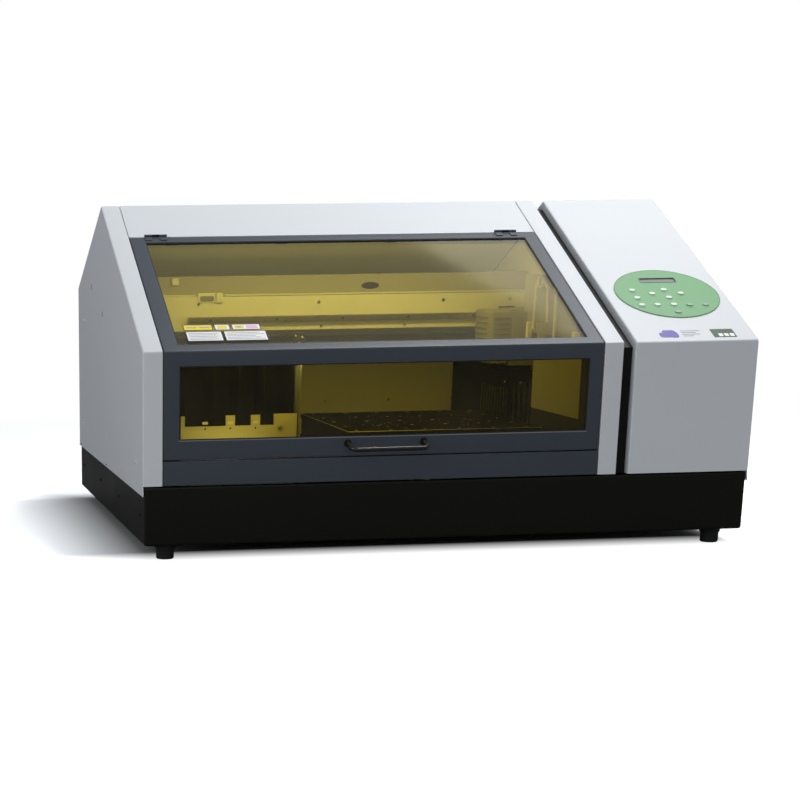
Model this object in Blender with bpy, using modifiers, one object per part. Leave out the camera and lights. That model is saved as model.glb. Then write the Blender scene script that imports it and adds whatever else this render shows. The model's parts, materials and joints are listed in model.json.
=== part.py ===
"""Desktop flatbed UV printer, built as separate parts.

Units are metres and +Z is up. The origin is the centre of the footprint on the floor, +X is to the
right of someone standing at the front, and +Y points to the back. The covers follow one outline in
the YZ plane: a vertical front, a long slope up to the apex, a shorter slope down and a vertical back.
Positions on the long slope are given as (x, s, n): s runs up the slope from the bend line and n is
the height above its surface.
"""

import math

import bmesh
import bpy
from mathutils import Vector

# Overall size
COVER_HALF_WIDTH = 0.499
BASE_HALF_WIDTH = 0.496
FRONT_Y = -0.400
BACK_Y = 0.400
FOOT_HEIGHT = 0.024
BASE_TOP = 0.117
GAP = 0.0003

# Outline of the covers
COVER_BOTTOM = 0.1187
SKIRT_BOTTOM = 0.103
BEND_Z = 0.326
APEX_Y = 0.070
APEX_Z = 0.546
BACK_TOP_Z = 0.400
SLOPE_ANGLE = math.atan2(APEX_Z - BEND_Z, APEX_Y - FRONT_Y)

# Vertical divisions of the front, from left to right
LEFT_FLANGE_X = -0.4675
DOOR_LEFT = -0.4660
DOOR_RIGHT = 0.2430
PILLAR_LEFT = 0.2442
PILLAR_RIGHT = 0.2750
CABINET_LEFT = 0.2950

# Sheet metal
SHEET = 0.0015
DOOR_SHEET = 0.0020
FOLD_RADIUS = 0.003
GAP_DEPTH = 0.014

# Door
DOOR_BOTTOM = 0.1585
DOOR_TOP_S = 0.3950
TOP_COVER_S = 0.3965
DOOR_DEPTH = 0.014
WINDOW_LEFT = -0.4410
WINDOW_RIGHT = 0.2205
SLOPE_WINDOW_S = (0.0190, 0.3750)
FRONT_WINDOW_Z = (0.1890, 0.3030)
PANE = 0.003
PANE_LAP = 0.009
HINGE_S = 0.3958
HINGE_N = 0.0023
HINGE_RADIUS = 0.0020
HINGE_PIN_RADIUS = 0.0009
HINGE_LEAF = 0.0014
HINGE_LEAF_REACH = 0.006
HINGE_CENTRES = (-0.4210, 0.1905)
HINGE_WIDTH = 0.039
HANDLE_CENTRE_X = -0.1085
HANDLE_FEET_Z = 0.1790
HANDLE_DROP = 0.0075
HANDLE_SPAN = 0.1235
HANDLE_RADIUS = 0.0038
HANDLE_REACH = 0.0297
HANDLE_STUB = 0.004

# Print table and its lift
TABLE_X = (-0.155, 0.170)
TABLE_Y = (-0.340, 0.000)
TABLE_TOP = 0.190
TABLE_THICKNESS = 0.008
LIFT_DOWN = 0.022
LIFT_PLATE = 0.006
LIFT_PLATE_BOTTOM = TABLE_TOP - TABLE_THICKNESS - GAP - LIFT_PLATE
POST_LENGTH = 0.118
POST_RADIUS = 0.005
POST_X = (-0.110, 0.125)
POST_Y = (-0.290, -0.050)
BORE_CLEARANCE = 0.0004
LIFT_SCREW_XY = (-0.010, -0.170)
TOWER_TOP = LIFT_PLATE_BOTTOM - LIFT_DOWN - 0.002
TOWER_RADIUS = 0.009
NUT_FLANGE_RADIUS = 0.018

# Table feed
FLOOR_TOP = 0.026
RAIL_X = (-0.0975, 0.1125)
RAIL_WIDTH = 0.015
RAIL_TOP = 0.041
SADDLE_Z = (0.050, 0.058)
SADDLE_X = (-0.125, 0.140)
SADDLE_Y = (-0.305, -0.035)
FEED_SCREW_X = 0.055
FEED_SCREW_Z = 0.078
FEED_SCREW_RADIUS = 0.006

# Carriage, its beam, rail and belt
BEAM_X = (-0.458, 0.2915)
BEAM_Y = (0.110, 0.165)
BEAM_Z = (0.329, 0.4235)
BEAM_SHEET = 0.0025
BEAM_STEP_Z = 0.3885
RAIL_Z = (0.343, 0.354)
RAIL_LEFT = -0.338
RAIL_Y = 0.100
CARRIAGE_X = (0.190, 0.286)
CARRIAGE_Y = (0.000, 0.0985)
CARRIAGE_Z = (0.290, 0.3595)
HEAD_BOTTOM = 0.264
PULLEY_RADIUS = 0.010
PULLEY_Y = 0.140
PULLEY_Z = (0.306, 0.316)
MOTOR_PULLEY_X = 0.255
IDLER_PULLEY_X = -0.420
BELT_THICKNESS = 0.0014

# Control panel on the cabinet slope
PANEL_CENTRE = (0.3995, 0.1595)
PANEL_HALF = (0.0868, 0.0830)
PANEL_THICKNESS = 0.0010
DISPLAY_X = (0.3690, 0.4290)
DISPLAY_S = (0.199, 0.213)
KEY_HALF = (0.0052, 0.0040)
KEY_TOP = 0.0026
KEY_DEPTH = 0.0040
KEY_CLEARANCE = 0.0004
KEY_POSITIONS = {
    "key_menu": (0.3437, 0.1717),
    "key_function": (0.3437, 0.1448),
    "key_cleaning": (0.3437, 0.1202),
    "key_left": (0.3738, 0.1585),
    "key_up": (0.3980, 0.1717),
    "key_right": (0.4228, 0.1585),
    "key_down": (0.3980, 0.1448),
    "key_base": (0.3704, 0.1202),
    "key_setup": (0.3980, 0.1202),
    "key_enter": (0.4241, 0.1180),
    "key_power": (0.4513, 0.1180),
    "key_pause": (0.3965, 0.0945),
}

# Back of the machine
EXHAUST_XZ = (-0.110, 0.265)
EXHAUST_RADIUS = 0.050
EXHAUST_REACH = 0.0335
INLET_X = (0.395, 0.445)
INLET_Z = (0.150, 0.195)
ROCKER_TILT = math.radians(7)

# Walls of the print chamber
LINER_LEFT_X = -0.460
LINER_RIGHT_X = 0.2935
LINER_BACK_Y = 0.360
LINER_BACK_TOP = 0.398
LINER_JOG_Y = -0.080
LINER_JOG_TOP = 0.344
SIDE_PANEL_X = 0.2415
SIDE_PANEL_TOP = 0.315

# Left bay
BAY_X = (-0.4550, -0.2385)
PARTITION_X = (-0.2360, -0.2340)
SLOT_PLATE_Y = -0.335
SLOT_PITCH = 0.041
SLOT_PLATE_TOP = 0.204
SLOT_TAB_TOP = 0.2205


# ---------------------------------------------------------------- scene and materials

for old_object in list(bpy.data.objects):
    bpy.data.objects.remove(old_object, do_unlink=True)

PARTS = bpy.data.collections.new("flatbed_uv_printer")
CUTTERS = bpy.data.collections.new("cutters")
bpy.context.scene.collection.children.link(PARTS)
bpy.context.scene.collection.children.link(CUTTERS)


def make_material(name, colour, roughness, metallic=0.0, alpha=1.0):
    """A plain Principled material."""
    material = bpy.data.materials.new(name)
    material.use_nodes = True
    shader = material.node_tree.nodes["Principled BSDF"]
    shader.inputs["Base Color"].default_value = (*colour, 1.0)
    shader.inputs["Roughness"].default_value = roughness
    shader.inputs["Metallic"].default_value = metallic
    shader.inputs["Alpha"].default_value = alpha
    return material


LIGHT_PAINT = make_material("light_paint", (0.72, 0.73, 0.75), 0.50)
DARK_PAINT = make_material("dark_paint", (0.055, 0.062, 0.078), 0.50)
BLACK_PAINT = make_material("black_paint", (0.012, 0.012, 0.012), 0.45)
INNER_PAINT = make_material("inner_paint", (0.62, 0.62, 0.60), 0.55)
AMBER = make_material("amber_acrylic", (0.42, 0.30, 0.02), 0.08, alpha=0.5)
BLACK_PLASTIC = make_material("black_plastic", (0.02, 0.02, 0.022), 0.55)
GREY_PLASTIC = make_material("grey_plastic", (0.16, 0.16, 0.17), 0.50)
RUBBER = make_material("rubber", (0.015, 0.015, 0.015), 0.85)
STEEL = make_material("steel", (0.55, 0.55, 0.56), 0.30, 1.0)
ANODISED = make_material("black_anodised", (0.025, 0.025, 0.027), 0.40, 0.6)
ALUMINIUM = make_material("aluminium", (0.66, 0.66, 0.67), 0.35, 1.0)
GREEN_FILM = make_material("green_film", (0.26, 0.60, 0.32), 0.40)
KEY_WHITE = make_material("white_key", (0.86, 0.90, 0.86), 0.45)
KEY_GREY = make_material("grey_key", (0.45, 0.62, 0.48), 0.45)
DISPLAY_GLASS = make_material("display_glass", (0.10, 0.13, 0.10), 0.15)
BOARD_GREEN = make_material("board_green", (0.02, 0.16, 0.07), 0.50)


# ---------------------------------------------------------------- placing and combining

def slope_point(s, n=0.0):
    """The (y, z) of a point s up the long slope and n above its surface."""
    y = FRONT_Y + s * math.cos(SLOPE_ANGLE) - n * math.sin(SLOPE_ANGLE)
    z = BEND_Z + s * math.sin(SLOPE_ANGLE) + n * math.cos(SLOPE_ANGLE)
    return y, z


def link_mesh(name, bm, material, location=(0, 0, 0), rotation=(0, 0, 0)):
    """Turn a bmesh into a named object of the model."""
    mesh = bpy.data.meshes.new(name)
    bm.to_mesh(mesh)
    bm.free()
    mesh.materials.append(material)
    piece = bpy.data.objects.new(name, mesh)
    piece.location = location
    piece.rotation_euler = rotation
    PARTS.objects.link(piece)
    return piece


def pivot(name, location):
    """An empty that carries the pieces of one moving body."""
    empty = bpy.data.objects.new(name, None)
    empty.location = location
    empty.empty_display_size = 0.03
    PARTS.objects.link(empty)
    return empty


def carry(empty, *pieces):
    """Parent pieces to an empty and keep them where they stand."""
    for piece in pieces:
        piece.parent = empty
        piece.location = Vector(piece.location) - Vector(empty.location)


def add_bevel(piece, width, segments=2, angle=30):
    """Round the edges that are sharper than the angle."""
    bevel = piece.modifiers.new("Bevel", "BEVEL")
    bevel.width = width
    bevel.segments = segments
    bevel.limit_method = "ANGLE"
    bevel.angle_limit = math.radians(angle)


def add_thickness(piece, thickness):
    """Give a sheet its thickness, behind its outer face."""
    solid = piece.modifiers.new("Solidify", "SOLIDIFY")
    solid.thickness = thickness
    solid.offset = -1.0
    solid.use_even_offset = True


def as_tool(piece):
    """Move a shape out of the model: it only cuts or joins another."""
    PARTS.objects.unlink(piece)
    CUTTERS.objects.link(piece)
    piece.name = "tool_" + piece.name
    piece.display_type = "WIRE"
    piece.hide_render = True


def combine(target, operation, *tools):
    """Cut tools from a piece, or join them to it."""
    for tool in tools:
        as_tool(tool)
        boolean = target.modifiers.new("Boolean", "BOOLEAN")
        boolean.operation = operation
        boolean.solver = "EXACT"
        boolean.object = tool


def cut(target, *tools):
    combine(target, "DIFFERENCE", *tools)


def unite(target, *tools):
    combine(target, "UNION", *tools)


def smooth(piece, angle=35):
    """Shade a round piece smooth, and keep its sharp edges."""
    piece.data.shade_smooth()
    piece.data.set_sharp_from_angle(angle=math.radians(angle))


# ---------------------------------------------------------------- shapes

def box(name, x, y, z, material, bevel=0.0):
    """A block between two values on each axis, with rounded edges if a bevel is given."""
    bm = bmesh.new()
    bmesh.ops.create_cube(bm, size=1.0)
    size = Vector((x[1] - x[0], y[1] - y[0], z[1] - z[0]))
    bmesh.ops.scale(bm, vec=size, verts=bm.verts)
    centre = ((x[0] + x[1]) / 2, (y[0] + y[1]) / 2, (z[0] + z[1]) / 2)
    piece = link_mesh(name, bm, material, centre)
    if bevel:
        add_bevel(piece, bevel)
    return piece


def slope_box(name, x, s, n, material):
    """A block lying on the long slope, given in the slope's own x, s and n."""
    bm = bmesh.new()
    bmesh.ops.create_cube(bm, size=1.0)
    bmesh.ops.scale(bm, vec=Vector((x[1] - x[0], s[1] - s[0], n[1] - n[0])), verts=bm.verts)
    y_centre, z_centre = slope_point((s[0] + s[1]) / 2, (n[0] + n[1]) / 2)
    centre = ((x[0] + x[1]) / 2, y_centre, z_centre)
    return link_mesh(name, bm, material, centre, (SLOPE_ANGLE, 0, 0))


def rod(name, start, end, radius, material, sides=24, end_radius=None):
    """A cylinder, or a cone, between two points."""
    start = Vector(start)
    end = Vector(end)
    bm = bmesh.new()
    bmesh.ops.create_cone(
        bm, cap_ends=True, segments=sides, depth=(end - start).length,
        radius1=radius, radius2=radius if end_radius is None else end_radius,
    )
    turn = Vector((0, 0, 1)).rotation_difference(end - start)
    piece = link_mesh(name, bm, material, (start + end) / 2, turn.to_euler())
    smooth(piece)
    return piece


def turned(name, profile, location, material, rotation=(0, 0, 0), sides=32):
    """A turned piece: a profile of (radius, height) points, outer side top to bottom, around Z."""
    bm = bmesh.new()
    corners = [bm.verts.new((radius, 0, height)) for radius, height in profile]
    for first, second in zip(corners, corners[1:]):
        bm.edges.new((first, second))
    if profile[0][0] > 0:
        bm.edges.new((corners[-1], corners[0]))
    piece = link_mesh(name, bm, material, location, rotation)
    screw = piece.modifiers.new("Screw", "SCREW")
    screw.steps = sides
    screw.render_steps = sides
    screw.use_merge_vertices = True
    screw.merge_threshold = 0.00001
    screw.use_smooth_shade = False
    return piece


def inset_outline(outline, depth):
    """Shift an outline of (y, z) points inwards, to the right of its direction."""
    directions = []
    for (y0, z0), (y1, z1) in zip(outline, outline[1:]):
        directions.append(Vector((y1 - y0, z1 - z0)).normalized())
    shifted = []
    for index, (y, z) in enumerate(outline):
        before = directions[max(index - 1, 0)]
        after = directions[min(index, len(directions) - 1)]
        normals = [Vector((direction.y, -direction.x)) for direction in (before, after)]
        middle = (normals[0] + normals[1]).normalized()
        reach = depth / middle.dot(normals[0])
        shifted.append((y + middle.x * reach, z + middle.y * reach))
    return shifted


def folded_sheet(name, x_lines, outline, material, thickness=SHEET, fold=FOLD_RADIUS,
                 openings=(), flange=0.0, left_side=None, right_side=None, lips=(True, True)):
    """A sheet that follows an outline of (y, z) points across a row of x lines.

    openings are (x cell, outline cell) pairs left out. flange turns the whole edge inwards. A side
    is closed with a flat face when its list of further corners, back to front, is given.
    """
    bm = bmesh.new()
    grid = [[bm.verts.new((x, y, z)) for y, z in outline] for x in x_lines]
    last_x = len(x_lines) - 1
    last_o = len(outline) - 1
    for i in range(last_x):
        for j in range(last_o):
            if (i, j) not in openings:
                bm.faces.new((grid[i][j], grid[i + 1][j], grid[i + 1][j + 1], grid[i][j + 1]))
    if left_side is not None:
        corners = [bm.verts.new((x_lines[0], y, z)) for y, z in left_side]
        bm.faces.new(grid[0] + corners)
    if right_side is not None:
        corners = [bm.verts.new((x_lines[-1], y, z)) for y, z in right_side]
        bm.faces.new(list(reversed(grid[-1] + corners)))
    if flange:
        inner = inset_outline(outline, flange)
        turned_in = {}
        for i in (0, last_x):
            for j in range(last_o + 1):
                turned_in[i, j] = bm.verts.new((x_lines[i], *inner[j]))
        for i in range(1, last_x):
            for j in (0, last_o):
                turned_in[i, j] = bm.verts.new((x_lines[i], *inner[j]))
        for j in range(last_o):
            bm.faces.new((grid[0][j], grid[0][j + 1], turned_in[0, j + 1], turned_in[0, j]))
            bm.faces.new((grid[-1][j + 1], grid[-1][j],
                          turned_in[last_x, j], turned_in[last_x, j + 1]))
        for i in range(last_x):
            if lips[0]:
                bm.faces.new((grid[i + 1][0], grid[i][0], turned_in[i, 0], turned_in[i + 1, 0]))
            if lips[1]:
                bm.faces.new((grid[i][last_o], grid[i + 1][last_o],
                              turned_in[i + 1, last_o], turned_in[i, last_o]))
        loose = [vertex for vertex in bm.verts if not vertex.link_faces]
        bmesh.ops.delete(bm, geom=loose, context="VERTS")
    piece = link_mesh(name, bm, material)
    if fold:
        add_bevel(piece, fold, angle=12)
    add_thickness(piece, thickness)
    return piece


def open_box(name, x, y, z, material, missing, thickness, bevel=0.0, lip=0.0):
    """A hollow box of sheet with one side missing: missing is that side's outward direction.

    lip is the width of the rim left around the missing side.
    """
    bm = bmesh.new()
    bmesh.ops.create_cube(bm, size=1.0)
    bmesh.ops.scale(bm, vec=Vector((x[1] - x[0], y[1] - y[0], z[1] - z[0])), verts=bm.verts)
    bm.normal_update()
    open_side = max(bm.faces, key=lambda face: face.normal.dot(Vector(missing)))
    if lip:
        bmesh.ops.inset_region(bm, faces=[open_side], thickness=lip)
    bmesh.ops.delete(bm, geom=[open_side], context="FACES")
    centre = ((x[0] + x[1]) / 2, (y[0] + y[1]) / 2, (z[0] + z[1]) / 2)
    piece = link_mesh(name, bm, material, centre)
    if bevel:
        add_bevel(piece, bevel)
    add_thickness(piece, thickness)
    return piece


def cover_outline(bottom=COVER_BOTTOM, s_from=None):
    """The covers' outline from the front bottom, or from s on the slope, to the back bottom."""
    start = [(FRONT_Y, bottom), (FRONT_Y, BEND_Z)] if s_from is None else [slope_point(s_from)]
    return start + [(APEX_Y, APEX_Z), (BACK_Y, BACK_TOP_Z), (BACK_Y, bottom)]


# ---------------------------------------------------------------- base and feet

def build_base():
    tray = open_box(
        "base_tray", (-BASE_HALF_WIDTH, BASE_HALF_WIDTH), (FRONT_Y, BACK_Y),
        (FOOT_HEIGHT, BASE_TOP), BLACK_PAINT, (0, 0, 1), 0.002, bevel=0.004, lip=0.012,
    )
    bearing = box(
        "screw_bearing", (FEED_SCREW_X - 0.015, FEED_SCREW_X + 0.015), (-0.368, -0.350),
        (FLOOR_TOP - 0.001, FEED_SCREW_Z + 0.015), BLACK_PAINT,
    )
    unite(tray, bearing)
    profile = [(0, FOOT_HEIGHT - GAP), (0.0165, FOOT_HEIGHT - GAP), (0.0165, 0.018), (0.0145, 0.015),
               (0.0145, 0.002), (0.0130, 0), (0, 0)]
    for side, x in (("left", -0.458), ("right", 0.455)):
        for end, y in (("front", -0.370), ("rear", 0.370)):
            foot = turned(f"foot_{end}_{side}", profile, (x, y, 0), RUBBER, sides=20)
            smooth(foot)


# ---------------------------------------------------------------- covers

def build_covers():
    skirt = [(BACK_Y, SKIRT_BOTTOM), (FRONT_Y, SKIRT_BOTTOM)]
    folded_sheet(
        "left_side_cover", (-COVER_HALF_WIDTH, LEFT_FLANGE_X), cover_outline(), LIGHT_PAINT,
        left_side=skirt,
    )
    folded_sheet(
        "right_pillar", (PILLAR_LEFT, PILLAR_RIGHT), cover_outline(), LIGHT_PAINT,
        flange=0.012, lips=(False, False), fold=0.0015, thickness=0.0012,
    )
    folded_sheet(
        "gap_plate", (PILLAR_RIGHT + 0.0006, CABINET_LEFT - 0.0006),
        inset_outline(cover_outline(), GAP_DEPTH), BLACK_PAINT, thickness=0.001, fold=0,
    )
    folded_sheet(
        "top_cover", (LEFT_FLANGE_X + 0.001, DOOR_RIGHT),
        [slope_point(TOP_COVER_S), (APEX_Y, APEX_Z), (BACK_Y, BACK_TOP_Z)], LIGHT_PAINT,
        flange=0.012, fold=0.002, lips=(True, False),
    )
    cabinet = folded_sheet(
        "cabinet_cover", (CABINET_LEFT, COVER_HALF_WIDTH), cover_outline(), LIGHT_PAINT,
        left_side=[], right_side=skirt,
    )
    key_wells = [key_block("well_" + name, position, KEY_CLEARANCE, -0.008, 0.004)
                 for name, position in KEY_POSITIONS.items()]
    display_well = slope_box("display_well", grown(DISPLAY_X, 0.0006), grown(DISPLAY_S, 0.0006),
                             (-0.006, 0.004), LIGHT_PAINT)
    inlet_hole = box("inlet_hole", grown(INLET_X, GAP), (0.390, 0.410), grown(INLET_Z, GAP),
                     LIGHT_PAINT)
    cut(cabinet, *key_wells, display_well, inlet_hole)

    lap = SHEET + GAP
    rear = folded_sheet(
        "rear_cover", (LEFT_FLANGE_X + 0.001 + lap, DOOR_RIGHT - lap),
        [(BACK_Y, BACK_TOP_Z - 0.0025), (BACK_Y, COVER_BOTTOM)], LIGHT_PAINT, flange=0.010, fold=0,
    )
    cut(rear, exhaust_bore("rear_exhaust_hole", EXHAUST_RADIUS - 0.003))
    folded_sheet(
        "front_fascia", (DOOR_LEFT, DOOR_RIGHT),
        [(FRONT_Y, COVER_BOTTOM), (FRONT_Y, DOOR_BOTTOM - 0.0015)], DARK_PAINT, flange=0.016,
        fold=0.0015,
    )


def grown(span, margin):
    """A span made longer by a margin at both ends."""
    return span[0] - margin, span[1] + margin


def exhaust_bore(name, radius):
    """A round cutter through the back walls."""
    x, z = EXHAUST_XZ
    return rod(name, (x, 0.340, z), (x, 0.440, z), radius, BLACK_PLASTIC, sides=32)


# ---------------------------------------------------------------- door

def build_door():
    hinge_y, hinge_z = slope_point(HINGE_S, HINGE_N)
    hinge_line = pivot("cover_hinge_line", (0, hinge_y, hinge_z))
    outline = [
        (FRONT_Y, DOOR_BOTTOM), (FRONT_Y, FRONT_WINDOW_Z[0]), (FRONT_Y, FRONT_WINDOW_Z[1]),
        (FRONT_Y, BEND_Z),
        slope_point(SLOPE_WINDOW_S[0]), slope_point(SLOPE_WINDOW_S[1]), slope_point(DOOR_TOP_S),
    ]
    frame = folded_sheet(
        "cover_frame", (DOOR_LEFT, WINDOW_LEFT, WINDOW_RIGHT, DOOR_RIGHT), outline, DARK_PAINT,
        thickness=DOOR_SHEET, fold=0.0025, openings=((1, 1), (1, 4)), flange=DOOR_DEPTH,
    )
    for name, centre in zip(("left", "right"), HINGE_CENTRES):
        unite(frame, *door_knuckles(name, centre))
        cut(frame, rod(f"pin_bore_{name}", (centre - 0.03, hinge_y, hinge_z),
                       (centre + 0.03, hinge_y, hinge_z), HINGE_PIN_RADIUS + 0.0001, STEEL, 16))
        build_fixed_hinge(name, centre, hinge_y, hinge_z)

    behind = -DOOR_SHEET - GAP
    slope_window = slope_box(
        "slope_window", grown((WINDOW_LEFT, WINDOW_RIGHT), PANE_LAP),
        grown(SLOPE_WINDOW_S, PANE_LAP), (behind - PANE, behind), AMBER,
    )
    front_window = box(
        "front_window", grown((WINDOW_LEFT, WINDOW_RIGHT), PANE_LAP),
        (FRONT_Y - behind, FRONT_Y - behind + PANE), grown(FRONT_WINDOW_Z, PANE_LAP), AMBER,
    )
    carry(hinge_line, frame, slope_window, front_window, build_handle())


def door_knuckles(name, centre):
    """The door's two outer knuckles of one hinge, each with its strap down to the door."""
    third = HINGE_WIDTH / 3
    pieces = []
    for side in (-1, 1):
        x = (centre + side * third - third / 2 + GAP, centre + side * third + third / 2 - GAP)
        y, z = slope_point(HINGE_S, HINGE_N)
        pieces.append(rod(f"knuckle_{name}_{side}", (x[0], y, z), (x[1], y, z),
                          HINGE_RADIUS, BLACK_PAINT, 20))
        pieces.append(slope_box(f"strap_{name}_{side}", grown(x, -0.0005),
                                (HINGE_S - 0.014, HINGE_S - 0.0008), (-0.001, HINGE_LEAF), BLACK_PAINT))
    return pieces


def build_fixed_hinge(name, centre, y, z):
    """The fixed leaf on the top cover, with the middle knuckle and the pin."""
    third = HINGE_WIDTH / 3
    hinge = rod(f"hinge_{name}", (centre - third / 2, y, z), (centre + third / 2, y, z),
                HINGE_RADIUS, BLACK_PAINT, 20)
    leaf = slope_box(f"leaf_{name}", (centre - third / 2 + 0.0005, centre + third / 2 - 0.0005),
                     (HINGE_S + 0.001, HINGE_S + HINGE_LEAF_REACH), (GAP, HINGE_LEAF), BLACK_PAINT)
    pin = rod(f"pin_{name}", (centre - HINGE_WIDTH / 2, y, z), (centre + HINGE_WIDTH / 2, y, z),
              HINGE_PIN_RADIUS, BLACK_PAINT, 16)
    unite(hinge, leaf, pin)


def build_handle():
    """A round bar bent into a bow, standing off the door's lower rail and hanging a little low."""
    bend = 0.010
    left = -HANDLE_SPAN / 2
    right = HANDLE_SPAN / 2
    plan = [(left, -GAP), (left, -HANDLE_STUB)]
    for x_centre, start in ((left + bend, math.pi), (right - bend, 1.5 * math.pi)):
        for step in range(5):
            angle = start + step / 4 * math.pi / 2
            plan.append((x_centre + bend * math.cos(angle),
                         bend - HANDLE_REACH + bend * math.sin(angle)))
    plan += [(right, -HANDLE_STUB), (right, -GAP)]
    curve = bpy.data.curves.new("cover_handle", "CURVE")
    curve.dimensions = "3D"
    curve.bevel_depth = HANDLE_RADIUS
    curve.bevel_resolution = 3
    curve.use_fill_caps = True
    spline = curve.splines.new("POLY")
    spline.points.add(len(plan) - 1)
    for point, (x, y) in zip(spline.points, plan):
        drop = max(-y - HANDLE_STUB, 0.0) / (HANDLE_REACH - HANDLE_STUB) * HANDLE_DROP
        point.co = (x, y, -drop, 1)
    curve.materials.append(BLACK_PAINT)
    handle = bpy.data.objects.new("cover_handle", curve)
    handle.location = (HANDLE_CENTRE_X, FRONT_Y, HANDLE_FEET_Z)
    PARTS.objects.link(handle)
    return handle


# ---------------------------------------------------------------- inside of the chamber

def build_liner():
    """The chamber's back wall and its stepped right wall, folded from one sheet."""
    bm = bmesh.new()

    def corner(x, y, z):
        return bm.verts.new((x, y, z))

    back = [corner(LINER_LEFT_X, LINER_BACK_Y, COVER_BOTTOM),
            corner(LINER_LEFT_X, LINER_BACK_Y, LINER_BACK_TOP),
            corner(LINER_RIGHT_X, LINER_BACK_Y, LINER_BACK_TOP),
            corner(LINER_RIGHT_X, LINER_BACK_Y, COVER_BOTTOM)]
    jog = [corner(LINER_RIGHT_X, LINER_JOG_Y, COVER_BOTTOM),
           corner(LINER_RIGHT_X, LINER_JOG_Y, LINER_JOG_TOP),
           corner(SIDE_PANEL_X, LINER_JOG_Y, LINER_JOG_TOP),
           corner(SIDE_PANEL_X, LINER_JOG_Y, SIDE_PANEL_TOP),
           corner(SIDE_PANEL_X, LINER_JOG_Y, COVER_BOTTOM)]
    upper = [corner(LINER_RIGHT_X, APEX_Y, APEX_Z - 0.022),
             corner(LINER_RIGHT_X, LINER_JOG_Y, 0.450)]
    panel = [corner(SIDE_PANEL_X, -0.332, SIDE_PANEL_TOP),
             corner(SIDE_PANEL_X, -0.332, COVER_BOTTOM)]
    bm.faces.new(back)
    bm.faces.new((back[3], back[2], *upper, jog[1], jog[0]))
    bm.faces.new(jog)
    bm.faces.new((jog[4], jog[3], *panel))
    liner = link_mesh("chamber_liner", bm, INNER_PAINT)
    add_bevel(liner, 0.004)
    add_thickness(liner, 0.001)
    cut(liner, exhaust_bore("liner_exhaust_hole", EXHAUST_RADIUS - 0.006))


def build_left_bay():
    partition_y = (SLOT_PLATE_Y - 0.010, -0.010)
    box("left_partition", PARTITION_X, partition_y, (FLOOR_TOP + GAP, 0.312), INNER_PAINT)
    bay = open_box(
        "ink_bay", BAY_X, (-0.310, -0.030), (0.150, 0.300), BLACK_PLASTIC, (0, -1, 0), 0.002,
        lip=0.003,
    )
    for slot in range(1, 4):
        x = -0.409 + slot * SLOT_PITCH
        unite(bay, box(f"bay_wall_{slot}", (x - 0.001, x + 0.001), (-0.3095, -0.031),
                       (0.151, 0.299), BLACK_PLASTIC))
    bm = bmesh.new()
    first_tab = -0.4273
    edge = [(first_tab, FLOOR_TOP + GAP), (first_tab, SLOT_TAB_TOP), (first_tab + 0.0065, SLOT_TAB_TOP),
            (first_tab + 0.0065, SLOT_PLATE_TOP)]
    for tab in (2, 3):
        centre = first_tab - 0.0015 + tab * SLOT_PITCH
        edge += [(centre - 0.0075, SLOT_PLATE_TOP), (centre - 0.0075, SLOT_TAB_TOP),
                 (centre + 0.0075, SLOT_TAB_TOP), (centre + 0.0075, SLOT_PLATE_TOP)]
    edge += [(-0.2760, SLOT_PLATE_TOP), (-0.2760, SLOT_TAB_TOP + 0.001),
             (BAY_X[1], SLOT_TAB_TOP + 0.001), (BAY_X[1], FLOOR_TOP + GAP)]
    bm.faces.new([bm.verts.new((x, SLOT_PLATE_Y, z)) for x, z in edge])
    slot_plate = link_mesh("slot_plate", bm, INNER_PAINT)
    add_thickness(slot_plate, 0.0015)


def build_capping_station():
    """The head's parking place at the right end: a hollow stand with two rubber caps on top."""
    station = open_box(
        "capping_station", (0.228, 0.2820), (0.000, 0.340), (FLOOR_TOP + GAP, 0.252),
        BLACK_PLASTIC, (0, 0, -1), 0.0025,
    )
    for index, y in enumerate((0.018, 0.053)):
        cap = box(f"cap_{index}", (0.233, 0.271), (y, y + 0.029), (0.2505, HEAD_BOTTOM - 0.0006),
                  RUBBER)
        hollow = box(f"cap_hollow_{index}", (0.236, 0.268), (y + 0.003, y + 0.026),
                     (0.256, 0.270), RUBBER)
        unite(station, cap)
        cut(station, hollow)


# ---------------------------------------------------------------- table, lift and feed

def build_feed():
    """The fixed rails, screw and motor that move the table towards the back."""
    for name, x in zip(("left", "right"), RAIL_X):
        box(f"feed_rail_{name}", (x - RAIL_WIDTH / 2, x + RAIL_WIDTH / 2), (-0.365, 0.350),
            (FLOOR_TOP + GAP, RAIL_TOP), STEEL, bevel=0.001)
    box("feed_motor", (FEED_SCREW_X - 0.028, FEED_SCREW_X + 0.028), (0.337, 0.390),
        (FEED_SCREW_Z - 0.028, FEED_SCREW_Z + 0.028), BLACK_PLASTIC, bevel=0.003)
    rod("feed_screw", (FEED_SCREW_X, -0.3495, FEED_SCREW_Z), (FEED_SCREW_X, 0.3367, FEED_SCREW_Z),
        FEED_SCREW_RADIUS, STEEL)


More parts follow.
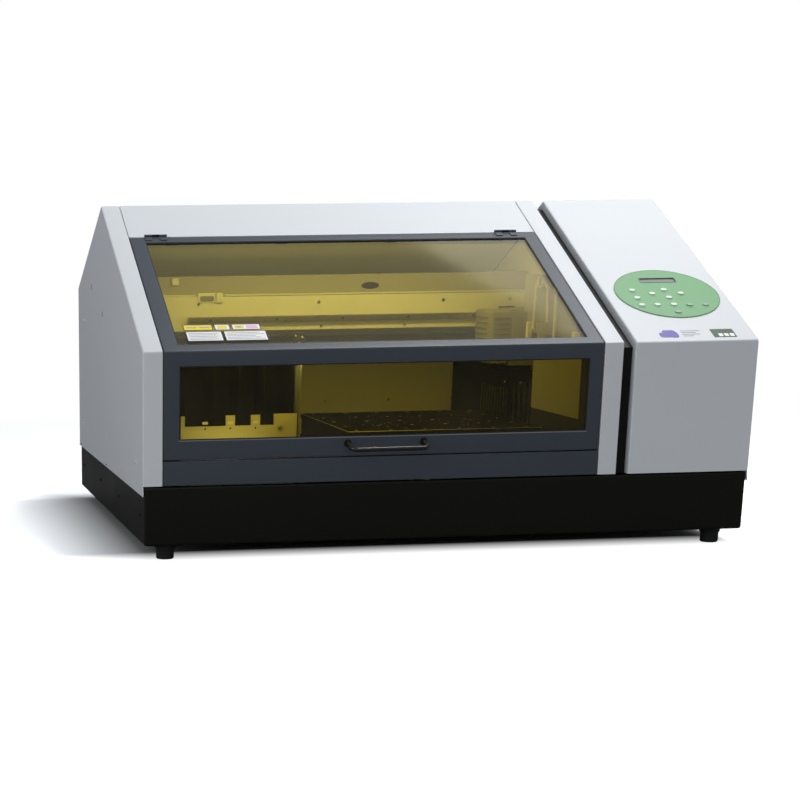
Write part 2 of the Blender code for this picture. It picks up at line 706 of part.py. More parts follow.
def build_saddle():
    saddle = box("feed_saddle", SADDLE_X, SADDLE_Y, SADDLE_Z, ANODISED)
    cutters = []
    for name, x in zip(("left", "right"), RAIL_X):
        for index, y in enumerate((SADDLE_Y[0] + 0.005, SADDLE_Y[1] - 0.055)):
            unite(saddle, box(f"runner_{name}_{index}", (x - 0.016, x + 0.016), (y, y + 0.050),
                              (0.030, SADDLE_Z[0] + 0.002), ANODISED))
        cutters.append(box(f"groove_{name}", grown((x - RAIL_WIDTH / 2, x + RAIL_WIDTH / 2), GAP),
                           (-0.40, 0.0), (0.020, RAIL_TOP + GAP), ANODISED))
    for x in POST_X:
        for y in POST_Y:
            unite(saddle, rod("tower", (x, y, SADDLE_Z[1] - 0.002), (x, y, TOWER_TOP),
                              TOWER_RADIUS, ANODISED, 20))
            cutters.append(rod("post_bore", (x, y, 0.02), (x, y, 0.20),
                               POST_RADIUS + BORE_CLEARANCE, ANODISED, 20))
    unite(saddle, box("feed_nut", (FEED_SCREW_X - 0.014, FEED_SCREW_X + 0.014), (-0.190, -0.150),
                      (SADDLE_Z[1] - 0.002, FEED_SCREW_Z + 0.014), ANODISED))
    cutters.append(rod("feed_bore", (FEED_SCREW_X, -0.25, FEED_SCREW_Z),
                       (FEED_SCREW_X, -0.10, FEED_SCREW_Z),
                       FEED_SCREW_RADIUS + BORE_CLEARANCE, ANODISED))
    screw_x, screw_y = LIFT_SCREW_XY
    cutters.append(rod("lift_bore", (screw_x, screw_y, 0.03), (screw_x, screw_y, 0.08),
                       POST_RADIUS + 0.0015, ANODISED, 20))
    cut(saddle, *cutters)

    motor = box("lift_motor", (screw_x - 0.075, screw_x - 0.033), (screw_y - 0.021, screw_y + 0.021),
                (SADDLE_Z[1] + GAP, 0.100), BLACK_PLASTIC, bevel=0.002)
    carry(pivot("table_feed_origin", (0, SADDLE_Y[0], SADDLE_Z[0])), saddle, motor)

    inner = POST_RADIUS + BORE_CLEARANCE
    groove = NUT_FLANGE_RADIUS - 0.002
    height = TOWER_TOP - SADDLE_Z[1]
    nut_profile = [(TOWER_RADIUS, height), (TOWER_RADIUS, 0.014), (NUT_FLANGE_RADIUS, 0.014),
                   (NUT_FLANGE_RADIUS, 0.0125), (groove, 0.0115), (groove, 0.0035),
                   (NUT_FLANGE_RADIUS, 0.0025), (NUT_FLANGE_RADIUS, 2 * GAP), (inner, 2 * GAP),
                   (inner, height)]
    nut = turned("lift_nut", nut_profile, (screw_x, screw_y, SADDLE_Z[1]), STEEL, sides=24)
    smooth(nut)


def build_table():
    plate_top = TABLE_TOP - TABLE_THICKNESS - GAP
    plate = box("lift_frame", (POST_X[0] - 0.010, POST_X[1] + 0.010),
                (POST_Y[0] - 0.010, POST_Y[1] + 0.010), (LIFT_PLATE_BOTTOM, plate_top), ANODISED)
    post_bottom = TABLE_TOP - TABLE_THICKNESS - POST_LENGTH
    for x in POST_X:
        for y in POST_Y:
            unite(plate, rod("post", (x, y, post_bottom), (x, y, plate_top - 0.002),
                             POST_RADIUS, STEEL, 20))
    screw_x, screw_y = LIFT_SCREW_XY
    screw = rod("lift_screw", (screw_x, screw_y, post_bottom),
                (screw_x, screw_y, LIFT_PLATE_BOTTOM - GAP), POST_RADIUS, STEEL, 20)
    table = box("print_table", TABLE_X, TABLE_Y, (TABLE_TOP - TABLE_THICKNESS, TABLE_TOP),
                ANODISED, bevel=0.001)
    carry(pivot("table_lift_origin", (*LIFT_SCREW_XY, TABLE_TOP)), plate, screw, table)


# ---------------------------------------------------------------- carriage

def build_beam():
    """The portal that carries the carriage, with its rail, belt, motor and pulleys."""
    outline = [(BEAM_Y[0], BEAM_Z[0]), (BEAM_Y[0], BEAM_STEP_Z),
               (BEAM_Y[0] + 0.006, BEAM_STEP_Z + 0.003),
               (BEAM_Y[0] + 0.006, BEAM_Z[1]), (BEAM_Y[1], BEAM_Z[1])]
    legs = [(BEAM_Y[1], FLOOR_TOP + GAP), (BEAM_Y[0], FLOOR_TOP + GAP)]
    beam = folded_sheet("carriage_beam", BEAM_X, outline, INNER_PAINT, thickness=BEAM_SHEET,
                        fold=0, left_side=legs, right_side=legs)
    idler_mount = box("idler_mount", (IDLER_PULLEY_X - 0.018, IDLER_PULLEY_X + 0.018),
                      (BEAM_Y[0] + 0.001, BEAM_Y[1] - 0.005),
                      (BEAM_Z[0] + 0.0015, BEAM_Z[0] + 0.018), INNER_PAINT)
    end_plate = box("end_plate", (0.2473, BEAM_X[1] - 0.001), (BEAM_Y[0], BEAM_Y[0] + BEAM_SHEET),
                    (0.265, BEAM_Z[0] + 0.002), INNER_PAINT)
    unite(beam, idler_mount, end_plate)
    box("carriage_rail", (RAIL_LEFT, BEAM_X[1] - 0.004), (RAIL_Y, BEAM_Y[0] - GAP), RAIL_Z, STEEL,
        bevel=0.001)
    half_motor = 0.020
    box("carriage_motor", (MOTOR_PULLEY_X - half_motor, MOTOR_PULLEY_X + half_motor),
        (PULLEY_Y - half_motor, PULLEY_Y + half_motor), (BEAM_Z[0] + 0.0015, BEAM_Z[0] + 0.046),
        BLACK_PLASTIC, bevel=0.002)
    for name, x in (("motor_pulley", MOTOR_PULLEY_X), ("idler_pulley", IDLER_PULLEY_X)):
        build_pulley(name, x)
    build_belt()


def build_pulley(name, x):
    """A flanged pulley whose shaft runs up to the part that holds it."""
    low, high = PULLEY_Z
    rim = PULLEY_RADIUS + 0.002
    groove = 0.0012
    shaft_top = BEAM_Z[0] + 0.0012
    profile = [(0, shaft_top), (0.003, shaft_top), (0.003, high + groove), (rim, high + groove),
               (rim, high), (PULLEY_RADIUS, high), (PULLEY_RADIUS, low), (rim, low),
               (rim, low - groove), (0, low - groove)]
    pulley = turned(name, profile, (x, PULLEY_Y, 0), ALUMINIUM, sides=24)
    smooth(pulley)


def build_belt():
    """A closed loop around the two pulleys."""
    low, high = PULLEY_Z
    inner = PULLEY_RADIUS + GAP
    outline = []
    for x, start in ((MOTOR_PULLEY_X, -math.pi / 2), (IDLER_PULLEY_X, math.pi / 2)):
        for step in range(13):
            angle = start + step / 12 * math.pi
            outline.append((x, math.cos(angle), math.sin(angle)))
    bm = bmesh.new()
    rings = []
    for z in (low + GAP, high - GAP):
        rings.append([bm.verts.new((x + (inner + BELT_THICKNESS) * c,
                                    PULLEY_Y + (inner + BELT_THICKNESS) * s, z))
                      for x, c, s in outline])
    for index in range(len(outline)):
        following = (index + 1) % len(outline)
        bm.faces.new((rings[0][index], rings[0][following], rings[1][following], rings[1][index]))
    belt = link_mesh("drive_belt", bm, RUBBER)
    add_thickness(belt, BELT_THICKNESS)


def build_carriage():
    body = box("carriage_body", CARRIAGE_X, CARRIAGE_Y, CARRIAGE_Z, INNER_PAINT, bevel=0.004)
    hook_x = (CARRIAGE_X[0] + 0.010, CARRIAGE_X[1] - 0.010)
    hook_y = (CARRIAGE_Y[1] - 0.004, BEAM_Y[0] - 0.0007)
    upper = box("upper_hook", hook_x, hook_y, (RAIL_Z[1] + GAP, RAIL_Z[1] + 0.0045), GREY_PLASTIC)
    lower = box("lower_hook", hook_x, hook_y, (RAIL_Z[0] - 0.009, RAIL_Z[0] - GAP), GREY_PLASTIC)
    belt_face = PULLEY_Y - PULLEY_RADIUS - BELT_THICKNESS - 2 * GAP
    arm = box("belt_arm", (0.220, 0.240), (CARRIAGE_Y[1] - 0.004, belt_face - GAP),
              (PULLEY_Z[0], PULLEY_Z[1]), GREY_PLASTIC)
    unite(body, upper, lower, arm)
    under = CARRIAGE_Z[0] - GAP
    head = box("print_head", (0.228, 0.276), (0.015, 0.085), (HEAD_BOTTOM, under), GREY_PLASTIC,
               bevel=0.0015)
    lamp = box("uv_lamp", (0.193, 0.224), (0.015, 0.085), (HEAD_BOTTOM + 0.004, under), ALUMINIUM,
               bevel=0.0015)
    carry(pivot("carriage_origin", (CARRIAGE_X[0], RAIL_Y, RAIL_Z[0])), body, head, lamp)


# ---------------------------------------------------------------- control panel

def key_block(name, position, clearance, bottom, top, material=KEY_WHITE):
    """An oval block on the slope: a key, or the well that a key moves in."""
    x, s = position
    bm = bmesh.new()
    bmesh.ops.create_cone(bm, cap_ends=True, segments=20, radius1=1.0, radius2=1.0,
                          depth=top - bottom)
    stretch = Vector((KEY_HALF[0] + clearance, KEY_HALF[1] + clearance, 1.0))
    bmesh.ops.scale(bm, vec=stretch, verts=bm.verts)
    piece = link_mesh(name, bm, material, (x, *slope_point(s, (bottom + top) / 2)),
                      (SLOPE_ANGLE, 0, 0))
    smooth(piece)
    return piece


def build_control_panel():
    x, s = PANEL_CENTRE
    bm = bmesh.new()
    bmesh.ops.create_cone(bm, cap_ends=True, segments=72, radius1=1.0, radius2=1.0,
                          depth=PANEL_THICKNESS)
    bmesh.ops.scale(bm, vec=Vector((*PANEL_HALF, 1.0)), verts=bm.verts)
    plate = link_mesh("control_plate", bm, GREEN_FILM,
                      (x, *slope_point(s, GAP + PANEL_THICKNESS / 2)), (SLOPE_ANGLE, 0, 0))
    wells = [key_block("plate_well_" + name, position, KEY_CLEARANCE, -0.004, 0.006)
             for name, position in KEY_POSITIONS.items()]
    display_hole = slope_box("display_hole", grown(DISPLAY_X, 0.0006), grown(DISPLAY_S, 0.0006),
                             (-0.004, 0.006), GREEN_FILM)
    cut(plate, *wells, display_hole)
    slope_box("display_window", DISPLAY_X, DISPLAY_S, (-0.0020, 0.0002), DISPLAY_GLASS)
    grey_keys = ("key_enter", "key_power", "key_pause")
    for name, position in KEY_POSITIONS.items():
        key_block(name, position, 0.0, -KEY_DEPTH, KEY_TOP,
                  KEY_GREY if name in grey_keys else KEY_WHITE)


# ---------------------------------------------------------------- electrics and exhaust

def build_electrics():
    board = box("circuit_board", (0.3100, 0.3116), (-0.250, 0.060), (0.140, 0.300), BOARD_GREEN)
    for index, (y, z, half) in enumerate(((-0.18, 0.24, 0.022), (-0.08, 0.20, 0.015),
                                          (0.01, 0.25, 0.018))):
        unite(board, box(f"chip_{index}", (0.3110, 0.3160), (y - half, y + half),
                         (z - half, z + half), BLACK_PLASTIC))

    inlet = box("power_inlet", INLET_X, (0.380, 0.4015), INLET_Z, BLACK_PLASTIC)
    flange = box("inlet_flange", grown(INLET_X, 0.005), (BACK_Y + GAP, 0.4025),
                 grown(INLET_Z, 0.005), BLACK_PLASTIC)
    unite(inlet, flange)
    middle_z = (INLET_Z[0] + INLET_Z[1]) / 2
    rocker_x = (0.401, 0.414)
    rocker_room = box("rocker_room", grown(rocker_x, 0.0005), (0.387, 0.410),
                      (middle_z - 0.0165, middle_z + 0.0165), BLACK_PLASTIC)
    socket = box("socket", (0.4205, 0.4405), (0.386, 0.410), (middle_z - 0.014, middle_z + 0.014),
                 BLACK_PLASTIC)
    cut(inlet, rocker_room, socket)
    rocker = box("power_rocker", rocker_x, (0.3925, 0.4025), (middle_z - 0.0140, middle_z + 0.0140),
                 BLACK_PLASTIC)
    rocker.rotation_euler = (ROCKER_TILT, 0, 0)


def build_exhaust():
    """The collar that an extraction hose slides over, with a finger guard across it."""
    x, z = EXHAUST_XZ
    back = EXHAUST_REACH
    wall = 0.002
    flange = EXHAUST_RADIUS + 0.014
    profile = [(EXHAUST_RADIUS, back), (EXHAUST_RADIUS, 0.003), (flange, 0.003), (flange, GAP),
               (EXHAUST_RADIUS - wall, GAP), (EXHAUST_RADIUS - wall, back)]
    collar = turned("exhaust_collar", profile, (x, BACK_Y, z), BLACK_PLASTIC,
                    rotation=(-math.pi / 2, 0, 0), sides=40)
    smooth(collar)
    reach = EXHAUST_RADIUS - 0.001
    bar_y = (BACK_Y + 0.006, BACK_Y + 0.009)
    unite(collar, box("guard_bar_x", (x - reach, x + reach), bar_y, (z - 0.0015, z + 0.0015),
                      BLACK_PLASTIC))
    unite(collar, box("guard_bar_z", (x - 0.0015, x + 0.0015), bar_y, (z - reach, z + reach),
                      BLACK_PLASTIC))


build_base()
build_covers()
build_door()
build_liner()
build_left_bay()
build_capping_station()
build_feed()
build_saddle()
build_table()
build_beam()
build_carriage()
build_control_panel()
build_electrics()
build_exhaust()
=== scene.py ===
"""Looks of the desktop flatbed UV printer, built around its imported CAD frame.

The scene is in metres: +X is to the right of someone standing at the front, +Y points to the back and
+Z is up. Positions come from the boxes of the CAD nodes and the axes in the record. Only small fittings
that no node marks have coordinates of their own. Each piece is built from a place, which is a matrix
whose origin lies on a surface and whose z axis points out of it. Places and sizes are written in
millimetres, and Shape.row turns them into metres.
"""

import json
import math
import random

import bmesh
import bpy
from mathutils import Matrix, Vector


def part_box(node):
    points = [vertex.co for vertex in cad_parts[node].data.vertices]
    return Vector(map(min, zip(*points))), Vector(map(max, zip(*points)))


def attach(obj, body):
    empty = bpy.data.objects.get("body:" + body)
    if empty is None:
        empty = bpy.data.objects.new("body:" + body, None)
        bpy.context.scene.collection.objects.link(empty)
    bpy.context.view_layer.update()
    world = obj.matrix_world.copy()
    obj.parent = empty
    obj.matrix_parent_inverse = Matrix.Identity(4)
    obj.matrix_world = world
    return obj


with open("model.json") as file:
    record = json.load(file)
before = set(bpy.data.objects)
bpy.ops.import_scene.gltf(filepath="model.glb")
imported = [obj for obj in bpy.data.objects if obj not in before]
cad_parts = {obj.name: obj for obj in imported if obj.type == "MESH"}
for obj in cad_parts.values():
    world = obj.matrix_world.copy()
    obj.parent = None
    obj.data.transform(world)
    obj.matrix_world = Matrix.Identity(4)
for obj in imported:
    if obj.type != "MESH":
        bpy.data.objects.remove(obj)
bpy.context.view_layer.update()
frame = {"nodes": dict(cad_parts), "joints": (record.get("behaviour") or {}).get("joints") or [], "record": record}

X, Y, Z = Vector((1, 0, 0)), Vector((0, 1, 0)), Vector((0, 0, 1))
MM = 0.001
METRE = 1.0

# Smoothing of faceted meshes, with the weld in metres
WELD = 0.00001
SHARP_ANGLE = math.radians(40)

# Width of the lighter edges, partly wear and partly painted highlight, in metres
WEAR_AND_HIGHLIGHT_RADIUS = 0.0012

# Fits between the pieces, in millimetres
EMBED = 0.3
BEAM_STEP = 6
LINING_DEPTH = 14
PANE_LAP = 9
PLATE_GAP = 0.3
HANDLE_RADIUS = 3.8
EXHAUST_RADIUS = 46.5
SCREW_RADIUS = 2.6

# Places of fittings that no CAD node marks, in millimetres
SLOT_TABS = (-387.8, -305.8)
DAMPER_Y = -156
SIDE_OPENING = (120, 312)
SHIELD_FOOT = 324

# Share of a pane's width that its clips reach to either side
CLIP_SPREAD = 0.42

# Base colours of the finishes, in linear RGB
LIGHT_PAINT = (0.705, 0.730, 0.760)
DARK_PAINT = (0.048, 0.060, 0.078)
BLACK_PAINT = (0.007, 0.007, 0.004)
INNER_PAINT = (0.70, 0.70, 0.68)
DULL_ZINC = (0.33, 0.32, 0.30)
BLACK_PLASTIC = (0.016, 0.016, 0.017)
GREY_PLASTIC = (0.20, 0.21, 0.22)
RUBBER = (0.012, 0.012, 0.012)
STEEL = (0.56, 0.56, 0.55)
ALUMINIUM = (0.66, 0.67, 0.68)
ANODISED = (0.022, 0.022, 0.024)
GREEN_FILM = (0.155, 0.400, 0.165)
WHITE_KEY = (0.80, 0.86, 0.80)
GREY_KEY = (0.33, 0.43, 0.36)
BOARD_GREEN = (0.02, 0.10, 0.04)
AMBER_TINT = (0.98, 0.885, 0.38)
ACRYLIC_INDEX = 1.49

# Nodes that look unlike the rest of their material slot
OWN_LOOKS = {"cover_handle": "gloss_black", "ink_bay": "matte_black", "print_table": "matte_black",
             "lift_frame": "matte_black", "carriage_body": "dull_zinc", "left_partition": "grey_plastic",
             "capping_station": "matte_black"}

# Camera
CAMERA_AZIMUTH = math.radians(6.370)
CAMERA_ELEVATION = math.radians(16.952)
CAMERA_ROLL = math.radians(-0.756)
CAMERA_PLACE = Vector((-0.98673, -3.53359, 0.51608))
CAMERA_LENS = 89.81
CAMERA_SHIFT = (0.42474, 0.54115)


# ---- frame of reference

def box_of(node, unit=MM):
    """Lowest and highest corners of a CAD node's box, in millimetres unless told otherwise."""
    low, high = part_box(node)
    return Vector(low) / unit, Vector(high) / unit


def key_axis():
    """Direction a key is pressed in, which is straight into the long slope."""
    joint = next(j for j in frame["joints"] if j["name"] == "key_menu_press")
    return Vector(joint["axis"]).normalized()


SLOPE_NORMAL = -key_axis()
UP_SLOPE = Vector((0, SLOPE_NORMAL.z, -SLOPE_NORMAL.y))


# ---- material nodes

def add(tree, kind, inputs=None, **settings):
    """A new shader node, with its settings, and with values or links for its inputs."""
    node = tree.nodes.new("ShaderNode" + kind)
    for key, value in settings.items():
        setattr(node, key, value)
    for key, value in (inputs or {}).items():
        if isinstance(value, bpy.types.NodeSocket):
            tree.links.new(value, node.inputs[key])
        else:
            node.inputs[key].default_value = value
    return node


def new_material(name):
    """An empty material, its node tree and its output node."""
    material = bpy.data.materials.new(name)
    material.use_nodes = True
    tree = material.node_tree
    tree.nodes.clear()
    return material, tree, tree.nodes.new("ShaderNodeOutputMaterial")


def rgba(color, factor=1.0):
    """A colour with full alpha, lightened or darkened by a factor."""
    return tuple(min(1.0, c * factor) for c in color) + (1.0,)


def noise(tree, vector, scale, detail=3.0, roughness=0.5):
    """Value of a noise texture of so many features a metre."""
    inputs = {"Vector": vector, "Scale": scale, "Detail": detail, "Roughness": roughness}
    return add(tree, "TexNoise", inputs).outputs["Fac"]


def remap(tree, value, low, high, to_low=0.0, to_high=1.0):
    """A value mapped from one range to another, and held inside it."""
    inputs = {"Value": value, "From Min": low, "From Max": high, "To Min": to_low, "To Max": to_high}
    return add(tree, "MapRange", inputs).outputs["Result"]


def calc(tree, operation, a, b):
    """The result of a sum with two values."""
    return add(tree, "Math", {0: a, 1: b}, operation=operation).outputs[0]


def times(tree, vector, factor):
    """A vector or colour, multiplied by another or by a value."""
    inputs = {0: vector, 1: factor}
    return add(tree, "VectorMath", inputs, operation="MULTIPLY").outputs["Vector"]


def mix_color(tree, factor, a, b):
    """One colour blended to another."""
    node = add(tree, "Mix", data_type="RGBA")
    for socket, value in zip((node.inputs[0], node.inputs[6], node.inputs[7]), (factor, a, b)):
        if isinstance(value, bpy.types.NodeSocket):
            tree.links.new(value, socket)
        else:
            socket.default_value = value
    return node.outputs[2]


def bump(tree, height, distance, strength=1.0, normal=None):
    """Surface normal after a height texture, so many metres deep."""
    inputs = {"Height": height, "Distance": distance, "Strength": strength}
    if normal is not None:
        inputs["Normal"] = normal
    return add(tree, "Bump", inputs).outputs["Normal"]


def edge_wear(tree, radius):
    """Near 1 on edges narrower than a radius, and 0 on flat faces."""
    rounded = add(tree, "Bevel", {"Radius": radius}, samples=4).outputs["Normal"]
    true = add(tree, "NewGeometry").outputs["Normal"]
    alike = add(tree, "VectorMath", {0: rounded, 1: true}, operation="DOT_PRODUCT").outputs["Value"]
    return remap(tree, alike, 0.99, 0.80)


def grained(name, color, roughness, grain, depth, metallic=0.0, speckle=0.04, wear=None,
            specular=0.5, coat=0.0, stretch=(1, 1, 1)):
    """A finish with fine grain in its relief, colour and gloss, broad soft variation, and lighter edges that are
    partly wear and partly painted highlight.

    grain is the number of grains a metre, depth their height in metres and speckle the share by
    which the colour varies. The edge colour argument gives the lighter edges, which are partly wear and partly a
    painted highlight, and stretch draws the grain out.
    """
    material, tree, output = new_material(name)
    coords = add(tree, "TexCoord").outputs["Object"]
    fine = noise(tree, times(tree, coords, stretch), grain, 4.0, 0.6)
    broad = noise(tree, coords, 9.0, 2.0)
    shade = mix_color(tree, remap(tree, fine, 0.25, 0.75), rgba(color, 1 - speckle), rgba(color, 1 + speckle))
    shade = mix_color(tree, remap(tree, broad, 0.2, 0.8, 0.0, 0.35), shade, rgba(color, 0.93))
    # Edges get a lighter colour: partly wear, partly a painted highlight where edges catch the light
    if wear:
        worn_and_lit = calc(tree, "MULTIPLY", edge_wear(tree, WEAR_AND_HIGHLIGHT_RADIUS), remap(tree, fine, 0.40, 0.62))
        shade = mix_color(tree, worn_and_lit, shade, rgba(wear))
    dull = calc(tree, "ADD", remap(tree, fine, 0.2, 0.8, -0.07, 0.07),
                remap(tree, broad, 0.2, 0.8, roughness - 0.04, roughness + 0.04))
    normal = bump(tree, fine, depth)
    surface = add(tree, "BsdfPrincipled", {
        "Base Color": shade, "Roughness": dull, "Metallic": metallic, "Normal": normal,
        "Specular IOR Level": specular, "Coat Weight": coat, "Coat Roughness": 0.2})
    tree.links.new(surface.outputs[0], output.inputs["Surface"])
    return material


def amber_acrylic():
    """Tinted acrylic sheet: clear to light, glossy at a glance, with a faint haze and fine scratches."""
    material, tree, output = new_material("amber_acrylic")
    coords = add(tree, "TexCoord").outputs["Object"]
    smear = noise(tree, coords, 14.0, 3.0)
    scratches = noise(tree, times(tree, coords, (3, 60, 60)), 22.0, 2.0)
    normal = bump(tree, noise(tree, coords, 5.0, 1.0), 0.0004)
    clear = add(tree, "BsdfTransparent", {"Color": rgba(AMBER_TINT)}).outputs[0]
    haze = add(tree, "BsdfDiffuse", {"Color": (0.46, 0.42, 0.26, 1.0)}).outputs[0]
    veil = remap(tree, smear, 0.3, 0.7, 0.008, 0.025)
    body = add(tree, "MixShader", {0: veil, 1: clear, 2: haze}).outputs[0]
    gloss = add(tree, "BsdfGlossy", {"Color": (1, 1, 1, 1), "Normal": normal,
                                     "Roughness": remap(tree, scratches, 0.3, 0.7, 0.03, 0.10)}).outputs[0]
    inside = add(tree, "NewGeometry").outputs["Backfacing"]
    index = remap(tree, inside, 0.0, 1.0, ACRYLIC_INDEX, 1 / ACRYLIC_INDEX)
    mirror = add(tree, "Fresnel", {"IOR": index, "Normal": normal}).outputs[0]
    surface = add(tree, "MixShader", {0: mirror, 1: body, 2: gloss}).outputs[0]
    tree.links.new(surface, output.inputs["Surface"])
    return material


def cad_materials():
    """The finishes by name: those of the record's slots, and the looks of OWN_LOOKS and of the pieces."""
    finishes = {"amber_acrylic": amber_acrylic()}

    def look(name, *settings, **more):
        finishes[name] = grained(name, *settings, **more)

    # The wear colours lighten the edges: partly wear, partly painted highlight
    look("light_paint", LIGHT_PAINT, 0.42, 1500, 0.00005, wear=(0.88, 0.88, 0.88))
    look("dark_paint", DARK_PAINT, 0.40, 1500, 0.00006, speckle=0.18, wear=(0.16, 0.17, 0.19))
    look("gloss_black", (0.009, 0.009, 0.010), 0.24, 1300, 0.00001, speckle=0.1, coat=0.3)
    look("black_paint", BLACK_PAINT, 0.38, 1300, 0.00005, speckle=0.15, wear=(0.05, 0.05, 0.045),
         specular=0.2)
    look("inner_paint", INNER_PAINT, 0.46, 1100, 0.00004, wear=(0.8, 0.8, 0.78))
    look("black_plastic", BLACK_PLASTIC, 0.50, 2200, 0.00005, speckle=0.2)
    look("grey_plastic", GREY_PLASTIC, 0.50, 2200, 0.00005)
    look("rubber", RUBBER, 0.75, 900, 0.00010, speckle=0.3, wear=(0.05, 0.05, 0.05))
    look("steel", STEEL, 0.28, 2600, 0.000004, metallic=1.0, speckle=0.02, stretch=(0.15, 1, 1))
    look("black_anodised", ANODISED, 0.52, 900, 0.00002, speckle=0.2, wear=(0.22, 0.22, 0.22),
         specular=0.12, stretch=(0.1, 1, 1))
    look("aluminium", ALUMINIUM, 0.34, 800, 0.00002, metallic=1.0, stretch=(0.1, 1, 1))
    look("green_film", GREEN_FILM, 0.36, 3000, 0.00002)
    look("white_key", WHITE_KEY, 0.30, 2500, 0.00001, speckle=0.02)
    look("grey_key", GREY_KEY, 0.34, 2500, 0.00001)
    look("display_glass", (0.16, 0.19, 0.18), 0.12, 600, 0.00001, coat=0.5)
    look("board_green", BOARD_GREEN, 0.35, 500, 0.00002)
    look("label_white", (0.93, 0.93, 0.93), 0.45, 3000, 0.00001, speckle=0.02)
    look("label_yellow", (0.92, 0.74, 0.02), 0.45, 3000, 0.00001)
    look("label_pink", (0.86, 0.50, 0.70), 0.45, 3000, 0.00001)
    look("label_grey", (0.42, 0.44, 0.47), 0.45, 3000, 0.00001)
    look("label_violet", (0.13, 0.09, 0.42), 0.40, 3000, 0.00001)
    look("badge_green", (0.012, 0.085, 0.022), 0.35, 3000, 0.00001)
    look("line_green", (0.045, 0.170, 0.060), 0.40, 3000, 0.00001)
    look("matte_black", (0.006, 0.006, 0.006), 0.9, 900, 0.00003, speckle=0.4, wear=(0.02, 0.02, 0.02),
         specular=0.0)
    look("dull_zinc", DULL_ZINC, 0.50, 900, 0.00003, wear=(0.45, 0.44, 0.42))
    return finishes


# ---- finishing meshes

def smoothing_group():
    """Geometry nodes that weld a faceted part and smooth it, except across its sharp edges."""
    group = bpy.data.node_groups.new("smooth_by_angle", "GeometryNodeTree")
    for way in ("INPUT", "OUTPUT"):
        group.interface.new_socket("Geometry", in_out=way, socket_type="NodeSocketGeometry")
    start = group.nodes.new("NodeGroupInput")
    plain = group.nodes.new("GeometryNodeRemoveAttribute")
    plain.inputs["Name"].default_value = "custom_normal"
    weld = group.nodes.new("GeometryNodeMergeByDistance")
    weld.inputs["Distance"].default_value = WELD
    smooth = group.nodes.new("GeometryNodeSetShadeSmooth")
    smooth.inputs["Shade Smooth"].default_value = True
    angle = group.nodes.new("GeometryNodeInputMeshEdgeAngle")
    sharp = group.nodes.new("FunctionNodeCompare")
    sharp.inputs["B"].default_value = SHARP_ANGLE
    edges = group.nodes.new("GeometryNodeSetShadeSmooth")
    edges.domain = "EDGE"
    edges.inputs["Shade Smooth"].default_value = False
    end = group.nodes.new("NodeGroupOutput")
    link = group.links.new
    link(start.outputs[0], plain.inputs["Geometry"])
    link(plain.outputs[0], weld.inputs["Geometry"])
    link(weld.outputs[0], smooth.inputs["Geometry"])
    link(smooth.outputs[0], edges.inputs["Geometry"])
    link(angle.outputs["Unsigned Angle"], sharp.inputs["A"])
    link(sharp.outputs[0], edges.inputs["Selection"])
    link(edges.outputs[0], end.inputs[0])
    return group


def shade_smooth(obj):
    """Smooth shading with sharp edges kept and flat faces kept flat."""
    obj.modifiers.new("smooth", "NODES").node_group = SMOOTHING
    weighted = obj.modifiers.new("weighted", "WEIGHTED_NORMAL")
    weighted.keep_sharp = True


def dress_cad_nodes():
    """Gives every CAD node its own look, or else the finish of its slot, and smooth shading."""
    for part in frame["record"]["subparts"]:
        obj = frame["nodes"][part["node"]]
        look = OWN_LOOKS.get(part["node"], part["material_slot"])
        for slot in obj.material_slots:
            slot.material = FINISH[look]
        shade_smooth(obj)


# ---- places and outlines

def at(point, normal, up=Z):
    """A place at a point, with its z axis along a normal and its y axis as near as can be to up."""
    out = Vector(normal).normalized()
    across = Vector(up).cross(out).normalized()
    place = Matrix((across, out.cross(across), out)).transposed().to_4x4()
    place.translation = point
    return place


def shifted(place, x=0.0, y=0.0, z=0.0):
    """The same place, moved along its own axes."""
    return place @ Matrix.Translation((x, y, z))


def rounded(width, height, radius=0.0, centre=(0.0, 0.0), steps=4):
    """Outline of a rectangle with rounded corners, counterclockwise."""
    if radius <= 0:
        steps = 0
    points = []
    corners = ((1, 1, 0), (-1, 1, 1), (-1, -1, 2), (1, -1, 3))
    for sx, sy, quarter in corners:
        for step in range(steps + 1):
            turn = (quarter + (step / steps if steps else 0.5)) * math.pi / 2
            x = sx * (width / 2 - radius) + radius * math.cos(turn)
            y = sy * (height / 2 - radius) + radius * math.sin(turn)
            points.append((centre[0] + x, centre[1] + y))
    return points


def ellipse(half_width, half_height, steps=72):
    """Outline of an ellipse, counterclockwise."""
    turns = [2 * math.pi * i / steps for i in range(steps)]
    return [(half_width * math.cos(a), half_height * math.sin(a)) for a in turns]


def shrunk(outline, margin):
    """An outline moved inwards by a margin."""
    points = []
    count = len(outline)
    for i, point in enumerate(outline):
        before = (Vector(point) - Vector(outline[i - 1])).normalized()
        after = (Vector(outline[(i + 1) % count]) - Vector(point)).normalized()
        inward = Vector((-before.y - after.y, before.x + after.x)).normalized()
        reach = margin / max(0.5, inward.dot(Vector((-before.y, before.x))))
        points.append((point[0] + inward.x * reach, point[1] + inward.y * reach))
    return points


def cross_recess(arm):
    """Radius around a cross-shaped screw recess."""
    return lambda turn: arm if abs(math.sin(2 * turn)) < 0.3 else arm * 0.4


def hex_recess(radius):
    """Radius around a hexagonal socket."""
    def reach(turn):
        return radius * math.cos(math.pi / 6) / math.cos(turn % (math.pi / 3) - math.pi / 6)
    return reach


# ---- shapes

def new_object(name, data):
    """An object in the scene."""
    made = bpy.data.objects.new(name, data)
    bpy.context.scene.collection.objects.link(made)
    return made


